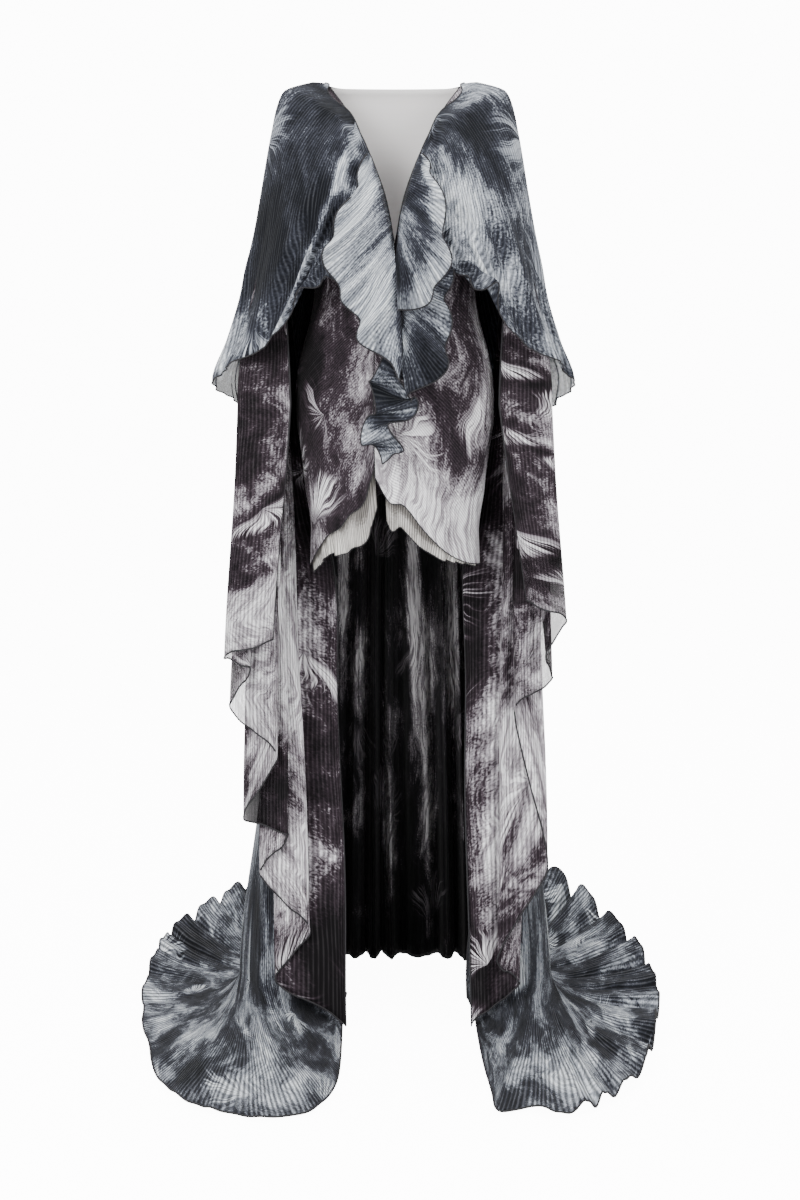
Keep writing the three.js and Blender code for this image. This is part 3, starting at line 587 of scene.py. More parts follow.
def frillShape(side):
    hem = hemRight if side > 0 else hemLeft
    startAngle = -6 if side > 0 else 13
    deep, shallow, shrink = (42, 2, 1.4) if side > 0 else (62, 12, 1.1)

    def shape(u, v):
        angle = mix(startAngle, 84, u)
        hemZ = read(hem, "x", "z", hemHalfWidth * np.sin(np.radians(angle)))
        turn = wave * (frillSetup["waves"] * u + 0.35 * np.sin(wave * 1.7 * u))
        flutter = np.cos(turn) * (0.8 + 0.3 * np.sin(wave * 2.3 * u + 1))
        depth = mix(deep, shallow, ease(u * shrink))
        z = mix(hemZ + frillSetup["underlap"], hemZ - depth, v) + 2 * v * flutter
        crimp = frillSetup["crimpDepth"] * np.sin(wave * frillSetup["crimps"] * u)
        out = -frillSetup["inset"] - v * (frillSetup["out"] + frillSetup["flutter"] * flutter + crimp)
        x, y, z = onForm(bodySections, angle, z, out)
        return x * side, y - halfSeam(z), z

    return shape


yokeSetup = {
    "columns": 60, "rows": 36, "cut": (0.42, 0.33), "printShift": (0, 0), "wall": 0.0008,
    "hems": [],
}
frontSetup = {
    "columns": 60, "rows": 130, "cut": (0.26, 0.75), "area": 0.17,
    "printShift": (0.62, 0.31), "wall": 0.0008,
    "hems": [("along", 1), ("across", 0)], "hemRadius": 0.0009,
    "tone": lambda u, v, z: 0.0 + 0.25 * ease((v - 0.8) / 0.14),
}
dressBackSetup = {
    "columns": 80, "rows": 50, "cut": (0.44, 0.43), "printShift": (2.1, 0.4), "wall": 0.0008,
    "hems": [("along", 1)], "tone": lambda u, v, z: np.full(len(u), -0.2),
}
frillSetup = {
    "columns": 180, "rows": 12, "cut": (0.24, 0.062), "area": 0.0112,
    "printShift": (0.1, 0.7), "wall": 0.0006, "hems": [("along", 1)], "hemRadius": 0.0010,
    # Painted shadow: the frill is dark at its top, where it lies in shade under the dress hem, and lighter
    # towards its free edge
    "tone": lambda u, v, z: -1.2 + 2.0 * ease((v - 0.15) / 0.6),
    "waves": 6, "flutter": 4.5, "out": 8, "underlap": 14, "inset": 1.8, "crimps": 17, "crimpDepth": 0.6,
}

frontRightSetup = dict(
    frontSetup, printShift=(1.93, 0.55),
    tone=lambda u, v, z: 0.1 + 1.6 * ease((v - 0.78) / 0.16),
)
frillRightSetup = dict(frillSetup, printShift=(1.1, 0.2), area=0.0088)

clothSheet("bodiceYoke", yokeShape, yokeSetup, nudeMesh, "bodice_back")
clothSheet("dressFrontLeft", frontShape(-1), frontSetup, skirtChiffon, "dress_front_left")
clothSheet("dressFrontRight", frontShape(1), frontRightSetup, skirtChiffon,
           "dress_front_right")
clothSheet("dressBack", backShape, dressBackSetup, skirtChiffon, "dress_back")
clothSheet("frillLeft", frillShape(-1), frillSetup, frillChiffon, "frill_left")
clothSheet("frillRight", frillShape(1), frillRightSetup, frillChiffon, "frill_right")

capeletRays = [
    {"u": 0.0, "neckAngle": 2, "neckZ": -244, "hemAngle": 20, "left": -306, "right": -282},
    {"u": 0.1, "neckAngle": 5, "neckZ": -184, "hemAngle": 30, "left": -315, "right": -316},
    {"u": 0.2, "neckAngle": 11, "neckZ": -131, "hemAngle": 39, "left": -332, "right": -330},
    {"u": 0.3, "neckAngle": 17, "neckZ": -86, "hemAngle": 47, "left": -388, "right": -386},
    {"u": 0.4, "neckAngle": 27, "neckZ": -40, "hemAngle": 60, "left": -424, "right": -420},
    {"u": 0.5, "neckAngle": 58, "neckZ": -7, "hemAngle": 82, "left": -446, "right": -446},
    {"u": 0.6, "neckAngle": 90, "neckZ": -1, "hemAngle": 104, "left": -488, "right": -488},
    {"u": 0.7, "neckAngle": 112, "neckZ": -4, "hemAngle": 122, "left": -514, "right": -514},
    {"u": 0.8, "neckAngle": 135, "neckZ": -7, "hemAngle": 141, "left": -488, "right": -488},
    {"u": 0.9, "neckAngle": 158, "neckZ": -8, "hemAngle": 161, "left": -458, "right": -458},
    {"u": 1.0, "neckAngle": 180, "neckZ": -8, "hemAngle": 180, "left": -446, "right": -446},
]
# Main creases of each half, from front to back
capeletTucks = {
    "left": [
        {"at": 0.12, "lean": 0.02, "width": 0.016, "depth": 7, "from": 0.35},
        {"at": 0.26, "lean": 0.05, "width": 0.014, "depth": 9, "from": 0.12},
        {"at": 0.30, "lean": 0.06, "width": 0.010, "depth": -7, "from": 0.16},
        {"at": 0.40, "lean": 0.02, "width": 0.018, "depth": 8, "from": 0.05},
        {"at": 0.47, "lean": 0.00, "width": 0.012, "depth": -6, "from": 0.20},
        {"at": 0.56, "lean": -0.02, "width": 0.020, "depth": 7, "from": 0.40},
        {"at": 0.69, "lean": 0.02, "width": 0.016, "depth": 8, "from": 0.20},
        {"at": 0.83, "lean": 0.01, "width": 0.020, "depth": 9, "from": 0.25},
    ],
    "right": [
        {"at": 0.10, "lean": 0.02, "width": 0.014, "depth": 8, "from": 0.40},
        {"at": 0.21, "lean": 0.04, "width": 0.018, "depth": 9, "from": 0.20},
        {"at": 0.27, "lean": 0.05, "width": 0.010, "depth": -7, "from": 0.30},
        {"at": 0.36, "lean": 0.03, "width": 0.014, "depth": 6, "from": 0.06},
        {"at": 0.44, "lean": 0.01, "width": 0.020, "depth": 9, "from": 0.25},
        {"at": 0.53, "lean": -0.01, "width": 0.010, "depth": -6, "from": 0.30},
        {"at": 0.63, "lean": 0.01, "width": 0.018, "depth": 8, "from": 0.35},
        {"at": 0.78, "lean": 0.00, "width": 0.022, "depth": 9, "from": 0.20},
        {"at": 0.90, "lean": 0.00, "width": 0.014, "depth": 7, "from": 0.40},
    ],
}
# Places where the front hem turns up and out
hemCurls = {
    "left": [{"at": 0.06, "width": 0.025, "height": 10}, {"at": 0.18, "width": 0.03, "height": 7}],
    "right": [{"at": 0.08, "width": 0.025, "height": 10}, {"at": 0.20, "width": 0.025, "height": 20}],
}
# Lighter and darker places on each half: print patches, and on the left half a painted highlight and painted
# shadow beside a fold
capeletPrintPatchesAndFoldShade = {
    "left": [
        {"tone": 0.7, "u": 0.45, "width": 0.2, "v": 0.95, "reach": 0.15},
        # Painted highlight on a fold of the left half, and the painted shadow beside it
        {"tone": 1.1, "u": 0.315, "width": 0.022}, {"tone": -0.4, "u": 0.36, "width": 0.03},
        {"tone": 1.0, "u": 0.52, "width": 0.06, "v": 0.34, "reach": 0.22},
    ],
    "right": [
        {"tone": 1.0, "u": 0.3, "width": 0.1, "v": 0.55, "reach": 0.25},
        {"tone": 0.7, "u": 0.5, "width": 0.15, "v": 0.95, "reach": 0.15},
    ],
}


def patchTone(level, patches):
    def onePatch(patch, u, v):
        down = bump(v, patch["v"], patch["reach"]) if "v" in patch else 1.0
        return patch["tone"] * bump(u, patch["u"], patch["width"]) * down

    def tone(u, v, z):
        return level + sum(onePatch(patch, u, v) for patch in patches)

    return tone


capeletSetup = {
    "columns": 260, "rows": 64, "cut": (0.72, 0.46), "printShift": (3.0, 0.1), "wall": 0.0007,
    "hems": [("along", 1), ("along", 0)], "hemRadius": 0.0011,
    "tone": patchTone(-0.25, capeletPrintPatchesAndFoldShade["left"]),
    "sheer": lambda u, v, z: 0.3 * ease((v - 0.84) / 0.12) * ease((u - 0.5) / 0.08) * ease((0.78 - u) / 0.1),
    "folds": 8, "foldDepth": 6.0, "ruffles": 43, "ruffleDepth": 1.6,
    "crinkles": [(19, 1.5, 1), (31, 1.0, 2)],  # count, depth, share of the phase
    "seat": 1.7, "neckRoll": 1.6, "centreX": 0.8,
    "shoulderLift": 7.5, "shoulderInnerX": 104, "shoulderOuterX": 210, "shoulderZ": -80,
    "lay": lambda x, y, u, v: (0.21 * np.arctan2(np.abs(x), 20 - y), 0.46 * v),
}


# Half of the capelet, along rays from the neck to the hem
def capeletShape(side):
    hemColumn = "right" if side > 0 else "left"
    phase = 0.4 if side > 0 else 1.7

    def shape(u, v):
        down = v ** 1.6  # rows lie closer together at the neck
        angle = mix(read(capeletRays, "u", "neckAngle", u), read(capeletRays, "u", "hemAngle", u), down)
        z = mix(read(capeletRays, "u", "neckZ", u), read(capeletRays, "u", hemColumn, u), down)
        grow = ease((down - 0.08) * 1.3)
        slip = u + 0.010 * np.sin(wave * 2.7 * u + phase)
        fold = (1 - np.cos(wave * capeletSetup["folds"] * slip)) * capeletSetup["foldDepth"] * grow
        fine = sum(depth * np.sin(wave * count * slip + turn * phase)
                   for count, depth, turn in capeletSetup["crinkles"])
        tuck = sum(crease["depth"] * bump(slip, crease["at"] + crease["lean"] * down, crease["width"])
                   * ease((down - crease["from"]) * 4) for crease in capeletTucks[hemColumn])
        calm = 1 - 0.8 * ease((down - 0.55) / 0.3) * ease((0.5 - u) / 0.1)
        ruffle = capeletSetup["ruffleDepth"] * np.sin(wave * capeletSetup["ruffles"] * u + phase)
        ruffle = ruffle * ease((down - 0.82) / 0.18) * ease((u - 0.42) / 0.1)
        nearX, nearY, nearZ = onForm(bodySections, angle, z, capeletSetup["seat"])
        nearY = nearY + np.where(angle > 90, 1, -1) * halfSeam(z)
        nearZ = nearZ + capeletSetup["neckRoll"] * np.sin(np.radians(angle)) ** 2
        curl = sum(lip["height"] * bump(u, lip["at"], lip["width"]) for lip in hemCurls[hemColumn])
        curl = curl * ease((down - 0.72) / 0.28) ** 1.5
        out = fold * mix(0.45, 1, calm) + (fine + tuck) * grow * calm + ruffle + 0.8 * curl
        farX, farY, farZ = onForm(capeSections, angle, z, out)
        farZ = farZ + curl
        blend = ease(down / mix(0.3, 0.04, ease((u - 0.2) / 0.2)))
        x = np.maximum(mix(nearX, farX, blend), capeletSetup["centreX"])
        z = mix(nearZ, farZ, blend)
        shoulder = ease((x - capeletSetup["shoulderInnerX"]) / 26)
        shoulder = shoulder * ease((capeletSetup["shoulderOuterX"] - x) / 36)
        shoulder = shoulder * ease((z - capeletSetup["shoulderZ"]) / 66)
        return x * side, mix(nearY, farY, blend), z + capeletSetup["shoulderLift"] * shoulder

    return shape


capeletRightSetup = dict(capeletSetup, printShift=(5.3, 1.2), tone=patchTone(0.05, capeletPrintPatchesAndFoldShade["right"]))
clothSheet("capeletLeft", capeletShape(-1), capeletSetup, slateChiffon, "capelet_left")
clothSheet("capeletRight", capeletShape(1), capeletRightSetup, slateChiffon, "capelet_right")

flounceLeftEdges = [
    {"u": 0.0, "sewnX": 39, "sewnZ": -112, "freeX": 42, "freeZ": -118},
    {"u": 0.15, "sewnX": 31, "sewnZ": -131, "freeX": 67, "freeZ": -179},
    {"u": 0.3, "sewnX": 18, "sewnZ": -170, "freeX": 98, "freeZ": -238},
    {"u": 0.45, "sewnX": 9, "sewnZ": -205, "freeX": 103, "freeZ": -284},
    {"u": 0.6, "sewnX": 3, "sewnZ": -238, "freeX": 80, "freeZ": -334},
    {"u": 0.7, "sewnX": 0, "sewnZ": -270, "freeX": 58, "freeZ": -356},
    {"u": 0.78, "sewnX": -3, "sewnZ": -305, "freeX": 60, "freeZ": -384},
    {"u": 0.9, "sewnX": -9, "sewnZ": -355, "freeX": 30, "freeZ": -414},
    {"u": 1.0, "sewnX": -13, "sewnZ": -410, "freeX": -13, "freeZ": -458},
]
flounceRightEdges = [
    {"u": 0.0, "sewnX": 37, "sewnZ": -115, "freeX": 41, "freeZ": -118},
    {"u": 0.2, "sewnX": 26, "sewnZ": -145, "freeX": 62, "freeZ": -152},
    {"u": 0.4, "sewnX": 15, "sewnZ": -180, "freeX": 79, "freeZ": -240},
    {"u": 0.6, "sewnX": 8, "sewnZ": -212, "freeX": 76, "freeZ": -298},
    {"u": 0.8, "sewnX": 4, "sewnZ": -238, "freeX": 46, "freeZ": -340},
    {"u": 1.0, "sewnX": 2, "sewnZ": -262, "freeX": 2, "freeZ": -354},
]
jabotRightEdges = [
    {"u": 0.0, "sewnX": 24, "sewnZ": -284, "freeX": 86, "freeZ": -292},
    {"u": 0.3, "sewnX": 16, "sewnZ": -316, "freeX": 80, "freeZ": -345},
    {"u": 0.55, "sewnX": 12, "sewnZ": -345, "freeX": 83, "freeZ": -410},
    {"u": 0.8, "sewnX": 8, "sewnZ": -375, "freeX": 62, "freeZ": -456},
    {"u": 1.0, "sewnX": 6, "sewnZ": -400, "freeX": 16, "freeZ": -486},
]
jabotTailEdges = [
    {"u": 0.0, "sewnX": -28, "sewnZ": -402, "freeX": 16, "freeZ": -410},
    {"u": 0.2, "sewnX": -20, "sewnZ": -432, "freeX": 24, "freeZ": -452},
    {"u": 0.4, "sewnX": -34, "sewnZ": -474, "freeX": 22, "freeZ": -482},
    {"u": 0.6, "sewnX": -42, "sewnZ": -514, "freeX": 24, "freeZ": -500},
    {"u": 0.8, "sewnX": -40, "sewnZ": -552, "freeX": 6, "freeZ": -536},
    {"u": 1.0, "sewnX": -30, "sewnZ": -580, "freeX": -4, "freeZ": -574},
]

tailSlant = 0.10  # how far the tail's waves run on per unit of v
# Small waves and sideways sway that all tiers share, in mm
tierCurls = {"fine": 3.2, "sway": 5, "swayGrowth": 3, "rise": 3, "hang": 8, "tailSway": 11, "tailTilt": 15}


# A tier from its sewn edge to its free edge, or held only across its top where sewnAcross says so.
# looseFrom is the u past which the inner edge hangs free of the front, and topLift the share of
# the lift at the neck end
def tierShape(side, edges, offset, lift, waves, height, sewnAcross=False, looseFrom=1.0, topLift=1.0):
    curls = tierCurls

    def shape(u, v):
        across = v if sewnAcross else v ** 1.5
        x = mix(read(edges, "u", "sewnX", u), read(edges, "u", "freeX", u), across) * side
        z = mix(read(edges, "u", "sewnZ", u), read(edges, "u", "freeZ", u), across)
        slip = u + 0.02 * np.sin(wave * 1.3 * u + waves) - (tailSlant * v if sewnAcross else 0.0)
        fuller = 1 + 0.5 * ease((u - 0.45) / 0.3)
        full = across * height * fuller * mix(0.4, 1, ease(u / 0.3))
        if sewnAcross:
            full = height * mix(0.5, 1, v) * fuller * ease(u / 0.2)
        turn = wave * waves * slip
        frill = full * (1 + np.cos(turn + (1.8 * v if sewnAcross else 0.0)))
        frill = frill + across ** 2 * curls["fine"] * np.sin(wave * (2 * waves + 3) * u + 0.8)
        swing = (curls["sway"] + curls["swayGrowth"] * u) * np.sin(turn + 0.6)
        x = x + side * across ** 2 * swing
        z = z + across ** 2 * curls["rise"] * np.sin(turn + 2.0)
        if sewnAcross:
            x = x + curls["tailSway"] * np.sin(wave * 2.2 * u + 0.5) * ease(u * 5)
            z = z + curls["tailTilt"] * (v - 0.5) * np.sin(wave * waves * u + 1.0) * ease(u * 5)
        farX, farY, farZ = onForm(capeSections, angleOn(capeSections, x, z), z)
        nearX, nearY, nearZ = onForm(bodySections, angleOn(bodySections, x, z), z, offset + wrapLap(z))
        hanging = ease((u - looseFrom) / 0.12)
        blend = ease(u / 0.2) if sewnAcross else np.maximum(ease(across / 0.06), hanging)
        stand = lift * mix(topLift, 1, ease(u / 0.25)) + curls["hang"] * hanging + frill
        y = mix(nearY - halfSeam(z), farY - stand, blend)
        return mix(nearX, farX, blend), y, mix(nearZ, farZ, blend)

    return shape


# Lays the print at a size of its own, apart from the cut
def printSize(width, length):
    return lambda x, y, u, v: (width * u, length * v)


flounceSetup = {
    "columns": 150, "rows": 30, "cut": (0.44, 0.085), "printShift": (8.0, 0.3), "wall": 0.0006,
    "hems": [("along", 1)], "hemRadius": 0.0012, "tone": lambda u, v, z: 0.7 - 0.7 * bump(v, 0.0, 0.35),
}
flounceRightSetup = dict(
    flounceSetup, printShift=(9.1, 0.9), cut=(0.36, 0.08), lay=printSize(0.32, 0.07),
    tone=lambda u, v, z: -0.1 + 0.9 * ease((v - 0.6) / 0.3),
)
jabotRightSetup = dict(
    flounceSetup, printShift=(9.9, 0.2), cut=(0.27, 0.09), lay=printSize(0.22, 0.07),
    tone=lambda u, v, z: 0.15 + 0.7 * bump(v, 0.3, 0.15),
)
jabotTailSetup = dict(
    flounceSetup, printShift=(10.6, 0.5), cut=(0.23, 0.07), lay=printSize(0.19, 0.06),
    hems=[("along", 0), ("along", 1), ("across", 1)],
    # Painted light and shade on the tail's folds: lighter where its waves stand out, darker in between
    tone=lambda u, v, z: -0.1 + 0.45 * np.cos(wave * 4 * (u - tailSlant * v)),
)
flounceLeftShape = tierShape(-1, flounceLeftEdges, offset=3.1, lift=24, waves=5, height=11,
                             looseFrom=0.6, topLift=0.45)
flounceRightShape = tierShape(1, flounceRightEdges, offset=3.1, lift=24, waves=4, height=11, topLift=0.45)
jabotRightShape = tierShape(1, jabotRightEdges, offset=1.6, lift=13, waves=3, height=8)
jabotTailShape = tierShape(1, jabotTailEdges, offset=1.6, lift=3, waves=4, height=9, sewnAcross=True)

clothSheet("flounceLeft", flounceLeftShape, flounceSetup, slateChiffon, "flounce_left")
clothSheet("flounceRight", flounceRightShape, flounceRightSetup, slateChiffon,
           "flounce_right")
clothSheet("jabotRight", jabotRightShape, jabotRightSetup, slateChiffon, "jabot_right")
clothSheet("jabotTail", jabotTailShape, jabotTailSetup, slateChiffon, "jabot_tail")

drapeTurnsLeft = [
    {"topX": 168, "hipX": 164, "hemX": 192, "hemZ": -868},
    {"topX": 178.4, "hipX": 247, "hemX": 269, "hemZ": -897},
    {"topX": 168, "hipX": 204, "hemX": 228, "hemZ": -918},
    {"topX": 178.4, "hipX": 244, "hemX": 262, "hemZ": -978},
    {"topX": 168, "hipX": 190, "hemX": 186, "hemZ": -1060},
    {"topX": 178.4, "hipX": 238, "hemX": 241, "hemZ": -1160},
    {"topX": 168, "hipX": 180, "hemX": 170, "hemZ": -1190},
    {"topX": 178.4, "hipX": 230, "hemX": 216, "hemZ": -1250},
    {"topX": 168, "hipX": 172, "hemX": 135, "hemZ": -1344},
    {"topX": 178.4, "hipX": 218, "hemX": 191, "hemZ": -1420},
    {"topX": 168, "hipX": 152, "hemX": 78, "hemZ": -1494},
]
drapeTurnsRight = [
    {"topX": 168, "hipX": 164, "hemX": 206, "hemZ": -806},
    {"topX": 178.4, "hipX": 247, "hemX": 270, "hemZ": -838},
    {"topX": 168, "hipX": 206, "hemX": 238, "hemZ": -900},
    {"topX": 178.4, "hipX": 244, "hemX": 250, "hemZ": -936},
    {"topX": 168, "hipX": 190, "hemX": 190, "hemZ": -985},
    {"topX": 178.4, "hipX": 226, "hemX": 245, "hemZ": -1236},
    {"topX": 168, "hipX": 175, "hemX": 165, "hemZ": -1392},
    {"topX": 178.4, "hipX": 218, "hemX": 201, "hemZ": -1425},
    {"topX": 168, "hipX": 154, "hemX": 124, "hemZ": -1494},
]
drapeDepths = [
    {"z": -46, "front": 9, "back": 36}, {"z": -120, "front": -14, "back": 52},
    {"z": -250, "front": -34, "back": 72}, {"z": -500, "front": -38, "back": 90},
    {"z": -765, "front": -52, "back": 84}, {"z": -900, "front": -62, "back": 66},
    {"z": -1200, "front": -86, "back": 16}, {"z": -1500, "front": -104, "back": -62},
]
innerEdge = [
    {"z": -46, "left": 168, "right": 168}, {"z": -110, "left": 181, "right": 181},
    {"z": -250, "left": 176, "right": 176}, {"z": -500, "left": 152, "right": 154},
    {"z": -680, "left": 126, "right": 130}, {"z": -765, "left": 101, "right": 111},
    {"z": -970, "left": 93, "right": 114}, {"z": -1280, "left": 82, "right": 116},
    {"z": -1500, "left": 77, "right": 124},
]

drapeTopZ, drapeArmZ, drapeHipZ = -46.0, -110.0, -500.0
drapeSides = [181.0, 186.0]  # inner and outer fold lines beside the arm
drapePleats = [
    {"count": 2.3, "depth": 3.4, "start": 0.0, "slant": 0.004},
    {"count": 4.1, "depth": 2.4, "start": 1.0, "slant": 0.007},
]


# A drape folded to and fro between its turns, from the outer edge in
def drapeShape(side, turns):
    last = len(turns) - 1
    innerColumn = "right" if side > 0 else "left"
    column = {key: np.array([turn[key] for turn in turns], float) for key in turns[0]}

    def turnX(k, z):
        armX = np.where(k % 2 == 0, *drapeSides)
        upper = mix(column["topX"][k], armX, ease((drapeTopZ - z) / (drapeTopZ - drapeArmZ)))
        middle = mix(armX, column["hipX"][k], ease((drapeArmZ - z) / (drapeArmZ - drapeHipZ)))
        down = np.clip((drapeHipZ - z) / (drapeHipZ - column["hemZ"][k]), 0, 1)
        lower = mix(column["hipX"][k], column["hemX"][k], down)
        x = np.where(z > drapeArmZ, upper, np.where(z > drapeHipZ, middle, lower))
        return np.where(k == last, read(innerEdge, "z", innerColumn, z), x)

    def shape(u, v):
        along = u * last
        k = np.minimum(last - 1, np.floor(along)).astype(int)
        t = along - k
        rounded = (1 - np.cos(np.pi * t)) / 2
        hemZ = mix(column["hemZ"][k], column["hemZ"][k + 1], mix(t, rounded, 0.35))
        z = mix(drapeTopZ, hemZ, v)
        loose = ease((-z - 200) / 500)  # still at the shoulder, free below the hip
        x = mix(turnX(k, z), turnX(k + 1, z), rounded)
        y = mix(read(drapeDepths, "z", "front", z), read(drapeDepths, "z", "back", z), u)
        pleats = sum(pleat["depth"] * np.sin(
            wave * pleat["count"] * along + pleat["start"] + pleat["slant"] * z) for pleat in drapePleats)
        y = y + loose * pleats * (0.75 + 0.35 * np.sin(1.9 * along + z / 210))
        x = x + loose * 1.5 * np.sin(z / 70.0 + along)
        z = z + 2.0 * np.sin(wave * 1.7 * along) * ease((v - 0.9) / 0.1)
        return side * x, y, z

    return shape


# Tone of a drape: painted shadow at its inner edge, which lies in shade, paler beside it, and print bands
# down its height
def drapeTone(bands):
    def tone(u, v, z):
        # Painted shadow: the inner edge, turned in towards the back, is darkened
        level = -0.2 - 0.8 * ease((u - 0.93) / 0.04)
        level = level + 1.6 * bump(u, 0.84, 0.06) * bump(z, -950, 290)
        return level + sum(band["tone"] * bump(z, band["z"], band["reach"]) for band in bands)

    return tone


drapeBandsLeft = [
    {"z": -600, "reach": 60, "tone": 0.4}, {"z": -930, "reach": 160, "tone": 1.3},
    {"z": -1250, "reach": 60, "tone": 0.9},
]
drapeBandsRight = [
    {"z": -560, "reach": 60, "tone": 0.5}, {"z": -830, "reach": 60, "tone": 0.3},
    {"z": -1110, "reach": 170, "tone": 1.4},
]

drapeSetup = {
    "columns": 210, "rows": 110, "cut": (0.86, 1.44), "area": 0.76,
    "printShift": (12.0, 0.0), "wall": 0.0007,
    "hems": [("along", 1), ("across", 0), ("across", 1)], "hemRadius": 0.0014,
    "tone": drapeTone(drapeBandsLeft),
    "sheer": lambda u, v, z: 0.5 * ease((v - 0.84) / 0.1) * ease((0.6 - u) / 0.2),
}
drapeRightSetup = dict(
    drapeSetup, printShift=(14.2, 0.7), cut=(0.66, 1.44), area=0.57, columns=180,
    tone=drapeTone(drapeBandsRight),
)
clothSheet("sideDrapeLeft", drapeShape(-1, drapeTurnsLeft), drapeSetup, plumChiffon,
           "side_drape_left")
clothSheet("sideDrapeRight", drapeShape(1, drapeTurnsRight), drapeRightSetup, plumChiffon,
           "side_drape_right")

backSections = [
    {"z": -70, "halfWidth": 112, "y": 93.6, "wave": 0}, {"z": -160, "halfWidth": 122, "y": 108, "wave": 3},
    {"z": -330, "halfWidth": 132, "y": 118, "wave": 6}, {"z": -490, "halfWidth": 142, "y": 142, "wave": 8},
    {"z": -765, "halfWidth": 152, "y": 178, "wave": 13}, {"z": -1100, "halfWidth": 166, "y": 232, "wave": 18},
    {"z": -1400, "halfWidth": 182, "y": 300, "wave": 24},
    {"z": -1480, "halfWidth": 184, "y": 340, "wave": 22},
    {"z": -1493, "halfWidth": 184, "y": 372, "wave": 20},
]

backForm = {"topZ": -70.0, "hemZ": -1493.0, "pleats": 9, "seat": 2.5, "standOff": 12, "bulge": 14}


# A point of the back panel, which hangs close to the yoke and lets go below it
def backPoint(u, z):
    c = 2 * u - 1
    x = c * read(backSections, "z", "halfWidth", z)
    angle = 180 - angleOn(bodySections, np.abs(x), z)
    onBack = onForm(bodySections, angle, z, backForm["seat"])[1] + halfSeam(z)
    close = onBack + backForm["standOff"] * ease((backForm["topZ"] - z) / 180)
    flat = read(backSections, "z", "y", z) + backForm["bulge"] * (1 - c * c) * ease((-z - 250) / 400)
    y = mix(close, flat, ease((-z - 220) / 240))
    edge = ease(u * 8) * ease((1 - u) * 8)
    slip = u + edge * (0.030 * np.sin(wave * 2.3 * u + 0.5) + 0.005 * np.sin(wave * 1.1 * u - z / 190.0))
    depth = read(backSections, "z", "wave", z) * (1 + edge * 0.35 * np.sin(wave * 2.6 * u + 1.0))
    y = y + depth * np.cos(wave * backForm["pleats"] * slip)
    y = y + edge * depth * (0.20 * np.sin(wave * 21 * slip + z / 260.0) + 0.1 * np.sin(wave * 37 * slip))
    return x, y, z


def backPanelShape(u, v):
    return backPoint(u, mix(backForm["topZ"], backForm["hemZ"], v))


# Pleats of the panel that catch the light
litPleats = [
    {"u": 0.22, "width": 0.032, "z": -800, "reach": 220, "tone": 1.6},
    {"u": 0.31, "width": 0.045, "z": -980, "reach": 260, "tone": 1.0},
    {"u": 0.47, "width": 0.034, "z": -1250, "reach": 160, "tone": 1.2},
    {"u": 0.60, "width": 0.032, "z": -880, "reach": 200, "tone": 2.0},
    {"u": 0.66, "width": 0.040, "z": -1150, "reach": 260, "tone": 1.9},
    {"u": 0.80, "width": 0.034, "z": -900, "reach": 260, "tone": 1.6},
    {"u": 0.88, "width": 0.026, "z": -1200, "reach": 200, "tone": 1.2},
]
backSetup = {
    "columns": 270, "rows": 90, "cut": (0.82, 1.45), "printShift": (17.0, 0.2), "wall": 0.0008,
    "hems": [("along", 1)], "hemRadius": 0.0010,
    # Painted shade over the whole panel, lifted where the pleats catch the light
    "tone": lambda u, v, z: -0.45 + 1.2 * sum(
        pleat["tone"] * bump(u, pleat["u"], pleat["width"]) * bump(z, pleat["z"], pleat["reach"])
        for pleat in litPleats),
}
clothSheet("backPanel", backPanelShape, backSetup, innerPaintedShadeChiffon, "back_panel")

trainOutlineLeft = [
    {"u": 0.0, "x": 82, "y": 150, "lift": 2}, {"u": 0.03, "x": 84, "y": -60, "lift": 2},
    {"u": 0.06, "x": 89, "y": -350, "lift": 3}, {"u": 0.1, "x": 108, "y": -462, "lift": 5},
    {"u": 0.16, "x": 172, "y": -524, "lift": 6}, {"u": 0.22, "x": 238, "y": -500, "lift": 6},
    {"u": 0.28, "x": 290, "y": -462, "lift": 8}, {"u": 0.35, "x": 350, "y": -350, "lift": 8},
    {"u": 0.42, "x": 394, "y": -115, "lift": 10}, {"u": 0.48, "x": 413, "y": 30, "lift": 14},
    {"u": 0.54, "x": 421, "y": 150, "lift": 22}, {"u": 0.63, "x": 418, "y": 345, "lift": 40},
    {"u": 0.71, "x": 402, "y": 450, "lift": 50}, {"u": 0.8, "x": 360, "y": 590, "lift": 60},
    {"u": 0.88, "x": 318, "y": 710, "lift": 66}, {"u": 0.95, "x": 272, "y": 800, "lift": 60},
    {"u": 1.0, "x": 214, "y": 640, "lift": 24},
]
trainOutlineRight = [
    {"u": 0.0, "x": 124, "y": 150, "lift": 2}, {"u": 0.03, "x": 130, "y": -60, "lift": 2},
    {"u": 0.06, "x": 142, "y": -330, "lift": 3}, {"u": 0.1, "x": 146, "y": -490, "lift": 6},
    {"u": 0.15, "x": 190, "y": -484, "lift": 12}, {"u": 0.2, "x": 236, "y": -512, "lift": 14},
    {"u": 0.26, "x": 278, "y": -486, "lift": 18}, {"u": 0.32, "x": 303, "y": -461, "lift": 22},
    {"u": 0.38, "x": 337, "y": -403, "lift": 24}, {"u": 0.45, "x": 378, "y": -300, "lift": 28},
    {"u": 0.52, "x": 406, "y": -150, "lift": 34}, {"u": 0.59, "x": 428, "y": 10, "lift": 40},
    {"u": 0.66, "x": 433, "y": 130, "lift": 46}, {"u": 0.73, "x": 424, "y": 270, "lift": 54},
    {"u": 0.8, "x": 404, "y": 400, "lift": 60}, {"u": 0.87, "x": 372, "y": 610, "lift": 66},
    {"u": 0.93, "x": 335, "y": 740, "lift": 70}, {"u": 0.97, "x": 298, "y": 820, "lift": 62},
    {"u": 1.0, "x": 214, "y": 640, "lift": 24},
]
